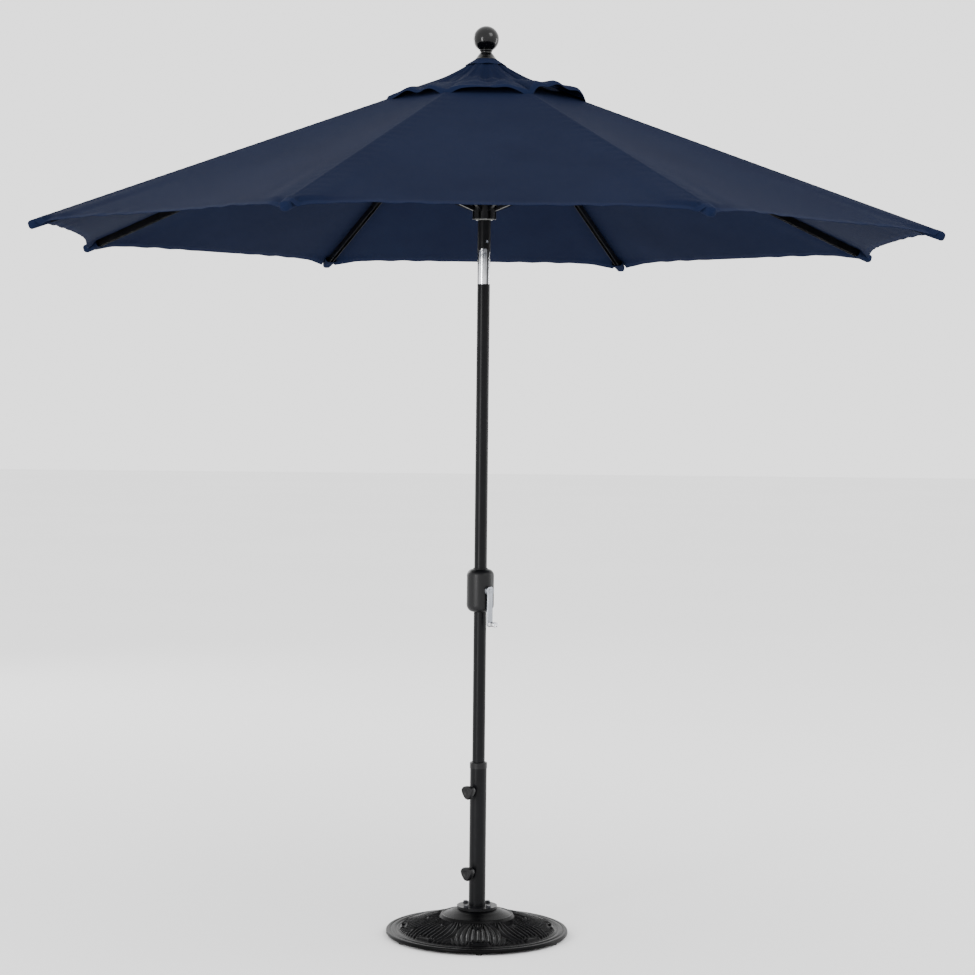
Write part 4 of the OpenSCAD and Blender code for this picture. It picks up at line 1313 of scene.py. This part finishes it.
    def arm_screw(self) -> bpy.types.Object:
        """The domed, cross-slotted screw head that holds the arm on its spindle.

        The head is a dome cut by a cross: its height is the dome's, less a smooth-sided slot on
        each axis.
        """
        rows, sides, radius = 22, 72, 0.0064
        r = np.linspace(0.0, 1.0, rows)[:, None] * radius
        angle = full_turn(sides)[None]
        x, y = r * np.cos(angle), r * np.sin(angle)
        dome = 0.0027 * np.sqrt(np.clip(1.0 - (r / (radius * 1.05)) ** 2, 0.0, 1.0))
        slots = [smooth_step((0.0011 - np.abs(a)) / 0.0003) * smooth_step((0.0036 - np.abs(b)) / 0.0006)
                 for a, b in ((x, y), (y, x))]
        z = self.screw_seat + dome - 0.0013 * np.maximum(*slots)
        piece = make_mesh("arm_screw_head", polar(r, angle, z), grid_faces(rows, sides, close_columns=True))
        thicken(piece, 0.0006)
        merge_doubles(piece)
        aim(piece, self.joint_frame("crank_turn"))
        return piece

    def knob(self, name: str, joint: str) -> bpy.types.Object:
        """A moulded three-lobe knob.

        Its outline is a circle whose radius swells three times round, its edge is rounded by a
        superellipse, and its face has a shallow round dish.

        Args:
            name: the piece's name.
            joint: the joint it turns on.

        Returns:
            The new piece.
        """
        half, sides = 0.5 * self.knob_thick, 132
        angle = full_turn(sides)
        lobes = 1.0 - 0.135 * (1.0 - np.cos(3.0 * angle)) * (1.0 + 0.22 * np.cos(3.0 * angle))
        t = np.radians(np.linspace(90.0, -90.0, 26))
        edge = np.sign(np.cos(t)) * np.abs(np.cos(t)) ** 0.42
        rise = np.sign(np.sin(t)) * np.abs(np.sin(t)) ** 0.62
        face_r = np.linspace(0.0, 0.88, 12)[1:]
        dish_depth, neck = 0.0016, 0.0030
        dish = half - dish_depth * (1.0 - smooth_step((face_r - 0.30) / 0.22))
        keep = edge > 0.90
        rows_r = np.concatenate([[1e-4], face_r, edge[keep], [0.55, 0.42, 0.42, 1e-4]])[:, None]
        rows_z = np.concatenate([[half - dish_depth], dish, half * rise[keep],
                                 [-half, -half - 0.0006, -half - neck, -half - neck]])[:, None]
        lobed = np.clip((rows_r - 0.35) / 0.45, 0.0, 1.0)
        radius = self.knob_r * rows_r * (lobes[None] * lobed + (1.0 - lobed) * 0.86)
        piece = make_mesh(name, polar(radius, angle, self.knob_start + half + rows_z),
                          grid_faces(len(rows_r), sides, close_columns=True)[:, ::-1])
        merge_doubles(piece, 0.00025)
        return aim(piece, self.joint_frame(joint))

    def bolts(self) -> bpy.types.Object:
        """The four chamfered hexagon heads on their washers, as one piece.

        Each is a stack of closed rings round its bolt's centre line; a hexagon ring's radius is its
        flat's distance over the cosine of the angle to the nearest flat.
        """
        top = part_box("flange_bolts")[1].z
        corner_r, washer_r, circle_r, count, sides = 0.0070, 0.0084, 0.047, 4, 48
        around = 2.0 * math.pi * np.arange(sides) / sides
        sixth = math.pi / 3.0
        flat_r = corner_r * math.cos(sixth / 2.0)
        head = np.minimum(flat_r / np.cos(np.mod(around, sixth) - sixth / 2.0), corner_r)
        circle = np.full(sides, 1.0)
        stack = [(circle * 0.0004, 0.0067), (circle * washer_r, 0.0067), (circle * washer_r, 0.0054),
                 (circle * 0.95 * washer_r, 0.0050), (head, 0.0050), (head, 0.0009),
                 (np.minimum(head, 0.97 * flat_r), 0.0001), (circle * 0.5 * flat_r, 0.0001)]
        radii = np.array([ring for ring, _ in stack])
        depth = np.array([drop for _, drop in stack])
        verts, faces = [], []
        for k in range(count):
            turn = math.radians(45.0 + 90.0 * k)
            first = len(verts) * len(stack) * sides
            verts.append(np.column_stack([
                (circle_r * math.cos(turn) + radii * np.cos(around)).ravel(),
                (circle_r * math.sin(turn) + radii * np.sin(around)).ravel(),
                np.repeat(top - depth, sides)]))
            grid = first + np.arange(len(stack) * sides).reshape(len(stack), sides)
            beside = np.roll(grid, -1, axis=1)
            quads = np.stack([grid[:-1], beside[:-1], beside[1:], grid[1:]], axis=-1)
            faces += quads.reshape(-1, 4).tolist() + [grid[-1].tolist(), grid[0][::-1].tolist()]
        return make_mesh("bolt_heads", np.vstack(verts), faces, smooth=False)

    def drop_cord(self) -> bpy.types.Object:
        """The cord outside the mast, from its pulley to the runner: a three-strand twist in many rings."""
        low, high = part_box("lift_cord_drop")
        centre = (low + high) / 2.0
        radius = (high.x - low.x) / 2.0
        rings, sides = 260, 18
        z = np.linspace(high.z, low.z, rings)[:, None]
        angle = full_turn(sides)[None]
        strand = 1.0 - 0.16 * np.abs(np.sin(1.5 * (angle + z / 0.0045)))
        points = polar(radius * strand, angle, z) + [centre.x, centre.y, 0.0]
        faces = grid_faces(rings, sides, close_columns=True)[:, ::-1].tolist()
        faces.append(list(range(sides)))
        faces.append(list(range(rings * sides - 1, (rings - 1) * sides - 1, -1)))
        piece = make_mesh("drop_cord", points, faces)
        self.palette.dress(piece, Finish.CORD)
        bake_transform(piece)
        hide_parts("lift_cord_drop")
        return piece

    def build(self) -> int:
        """Makes and dresses every fitting, and returns the number of pieces on one body."""
        LOG.info("cord: %s", self.drop_cord().name)
        plan: list[tuple[Callable[[], bpy.types.Object], str, Finish, tuple[str, ...]]] = [
            (self.finial, "top", Finish.GLOSS, ("finial",)),
            (partial(self.housing_half, True), "mast", Finish.BLACK_PLASTIC, ("housing_front",)),
            (partial(self.housing_half, False), "mast", Finish.BLACK_PLASTIC, ("housing_rear",)),
            (self.spindle_boss, "mast", Finish.BLACK_PLASTIC, ()),
            (self.arm_hub, "crank", Finish.STEEL, ()),
            (self.crank_arm, "crank", Finish.STEEL, ("crank_arm",)),
            (self.arm_screw, "crank", Finish.STEEL, ("arm_screw",)),
            (self.crank_grip, "grip", Finish.CHROME, ("crank_grip",)),
            *((partial(self.knob, f"knob_body_{k}", f"{k}_knob_turn"), f"{k}_knob", Finish.BLACK_PLASTIC,
               (f"knob_{k}",)) for k in ("upper", "lower")),
            (self.bolts, "base", Finish.DARK_STEEL, ("flange_bolts",)),
        ]
        for make, body, finish, nodes in plan:
            piece = make()
            self.palette.dress(piece, finish)
            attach(piece, body)
            if nodes:
                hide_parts(*nodes)
            LOG.info("fitting: %s on %s", piece.name, body)
        return len(plan)


# ---------------------------------------------------------------- studio

@dataclass
class Studio:
    """The pale floor, the soft lights and the camera."""

    lens_mm: float = 84.6
    distance: float = 6.796
    aside: float = 0.018
    eye_height: float = 1.612
    pitch_deg: float = 2.314
    roll_deg: float = 0.62
    turn_deg: float = -1.73
    floor_half: float = 40.0
    surround: float = 2.05

    def floor(self) -> None:
        """A wide pale sheet that the umbrella stands on."""
        corners = self.floor_half * np.array([[-1, -1, 0], [1, -1, 0], [1, 1, 0], [-1, 1, 0]])
        sheet = make_mesh("studio_floor", corners, [[0, 1, 2, 3]], smooth=False)
        g = Graph("studio_paper")
        tone = g.noise(0.4, 2.0).ramp(0.3, 0.7, 0.0, 1.0)
        sheet.data.materials.append(g.finish({
            "Base Color": g.mix(tone, (0.86, 0.86, 0.86), (0.88, 0.88, 0.88)), "Roughness": 0.9}))

    def light(self, name: str, place: Sequence[float], target: Sequence[float],
              size: tuple[float, float], power: float) -> None:
        """Adds a soft light that faces a point.

        Args:
            name: its name.
            place: where it is.
            target: what it faces.
            size: its width and height.
            power: its power in watts.
        """
        data = bpy.data.lights.new(name, "AREA")
        data.shape = "RECTANGLE"
        data.size, data.size_y, data.energy = *size, power
        lamp = bpy.data.objects.new(name, data)
        lamp.location = place
        lamp.rotation_euler = (Vector(target) - Vector(place)).to_track_quat("-Z", "Y").to_euler()
        bpy.context.scene.collection.objects.link(lamp)

    def world(self) -> None:
        """An even, nearly white surround."""
        world = bpy.data.worlds.new("surround")
        world.use_nodes = True
        ground = world.node_tree.nodes["Background"]
        ground.inputs["Color"].default_value = (1.0, 1.0, 1.0, 1.0)
        ground.inputs["Strength"].default_value = self.surround
        bpy.context.scene.world = world

    def camera(self) -> None:
        """A long lens at standing height, level with the middle of the mast."""
        data = bpy.data.cameras.new("view")
        data.lens, data.sensor_width = self.lens_mm, 36.0
        data.clip_end = 200.0
        eye = bpy.data.objects.new("view", data)
        bpy.context.scene.collection.objects.link(eye)
        turn = Matrix.Rotation(math.radians(self.turn_deg), 4, "Z")
        tilt = Matrix.Rotation(math.radians(90.0 - self.pitch_deg), 4, "X")
        roll = Matrix.Rotation(math.radians(self.roll_deg), 4, "Z")
        place = Matrix.Translation((self.aside, -self.distance, self.eye_height))
        eye.matrix_world = turn @ place @ tilt @ roll
        bpy.context.scene.camera = eye

    def build(self) -> None:
        """Sets up the whole studio."""
        self.camera()
        self.floor()
        self.world()
        self.light("strip_left", (-4.4, -5.4, 1.5), (0.0, 0.0, 1.4), (1.1, 4.2), 330.0)
        self.light("strip_right", (6.6, 2.2, 1.5), (0.0, 0.0, 1.4), (0.9, 4.0), 120.0)
        self.light("top", (3.4, -3.2, 5.6), (0.0, 0.0, 2.4), (2.6, 2.6), 150.0)
        self.light("back", (-3.6, 5.8, 3.4), (0.0, 0.0, 1.6), (2.2, 3.0), 120.0)
        LOG.info("studio ready")


def main() -> None:
    """Builds every sub-assembly in order."""
    logging.basicConfig(level=logging.INFO, format="%(name)s: %(message)s", stream=sys.stdout)
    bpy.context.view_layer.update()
    Studio().build()
    palette = Palette()
    LOG.info("dressed %d nodes", palette.dress_nodes())
    bones = Skeleton()
    canopy = Canopy(bones, palette)
    pieces = canopy.build() + VentCap(canopy).build()
    pieces += CastBase(palette).build() + Fittings(palette).build()
    LOG.info("made %d pieces", pieces)


if __name__ == "__main__":
    main()
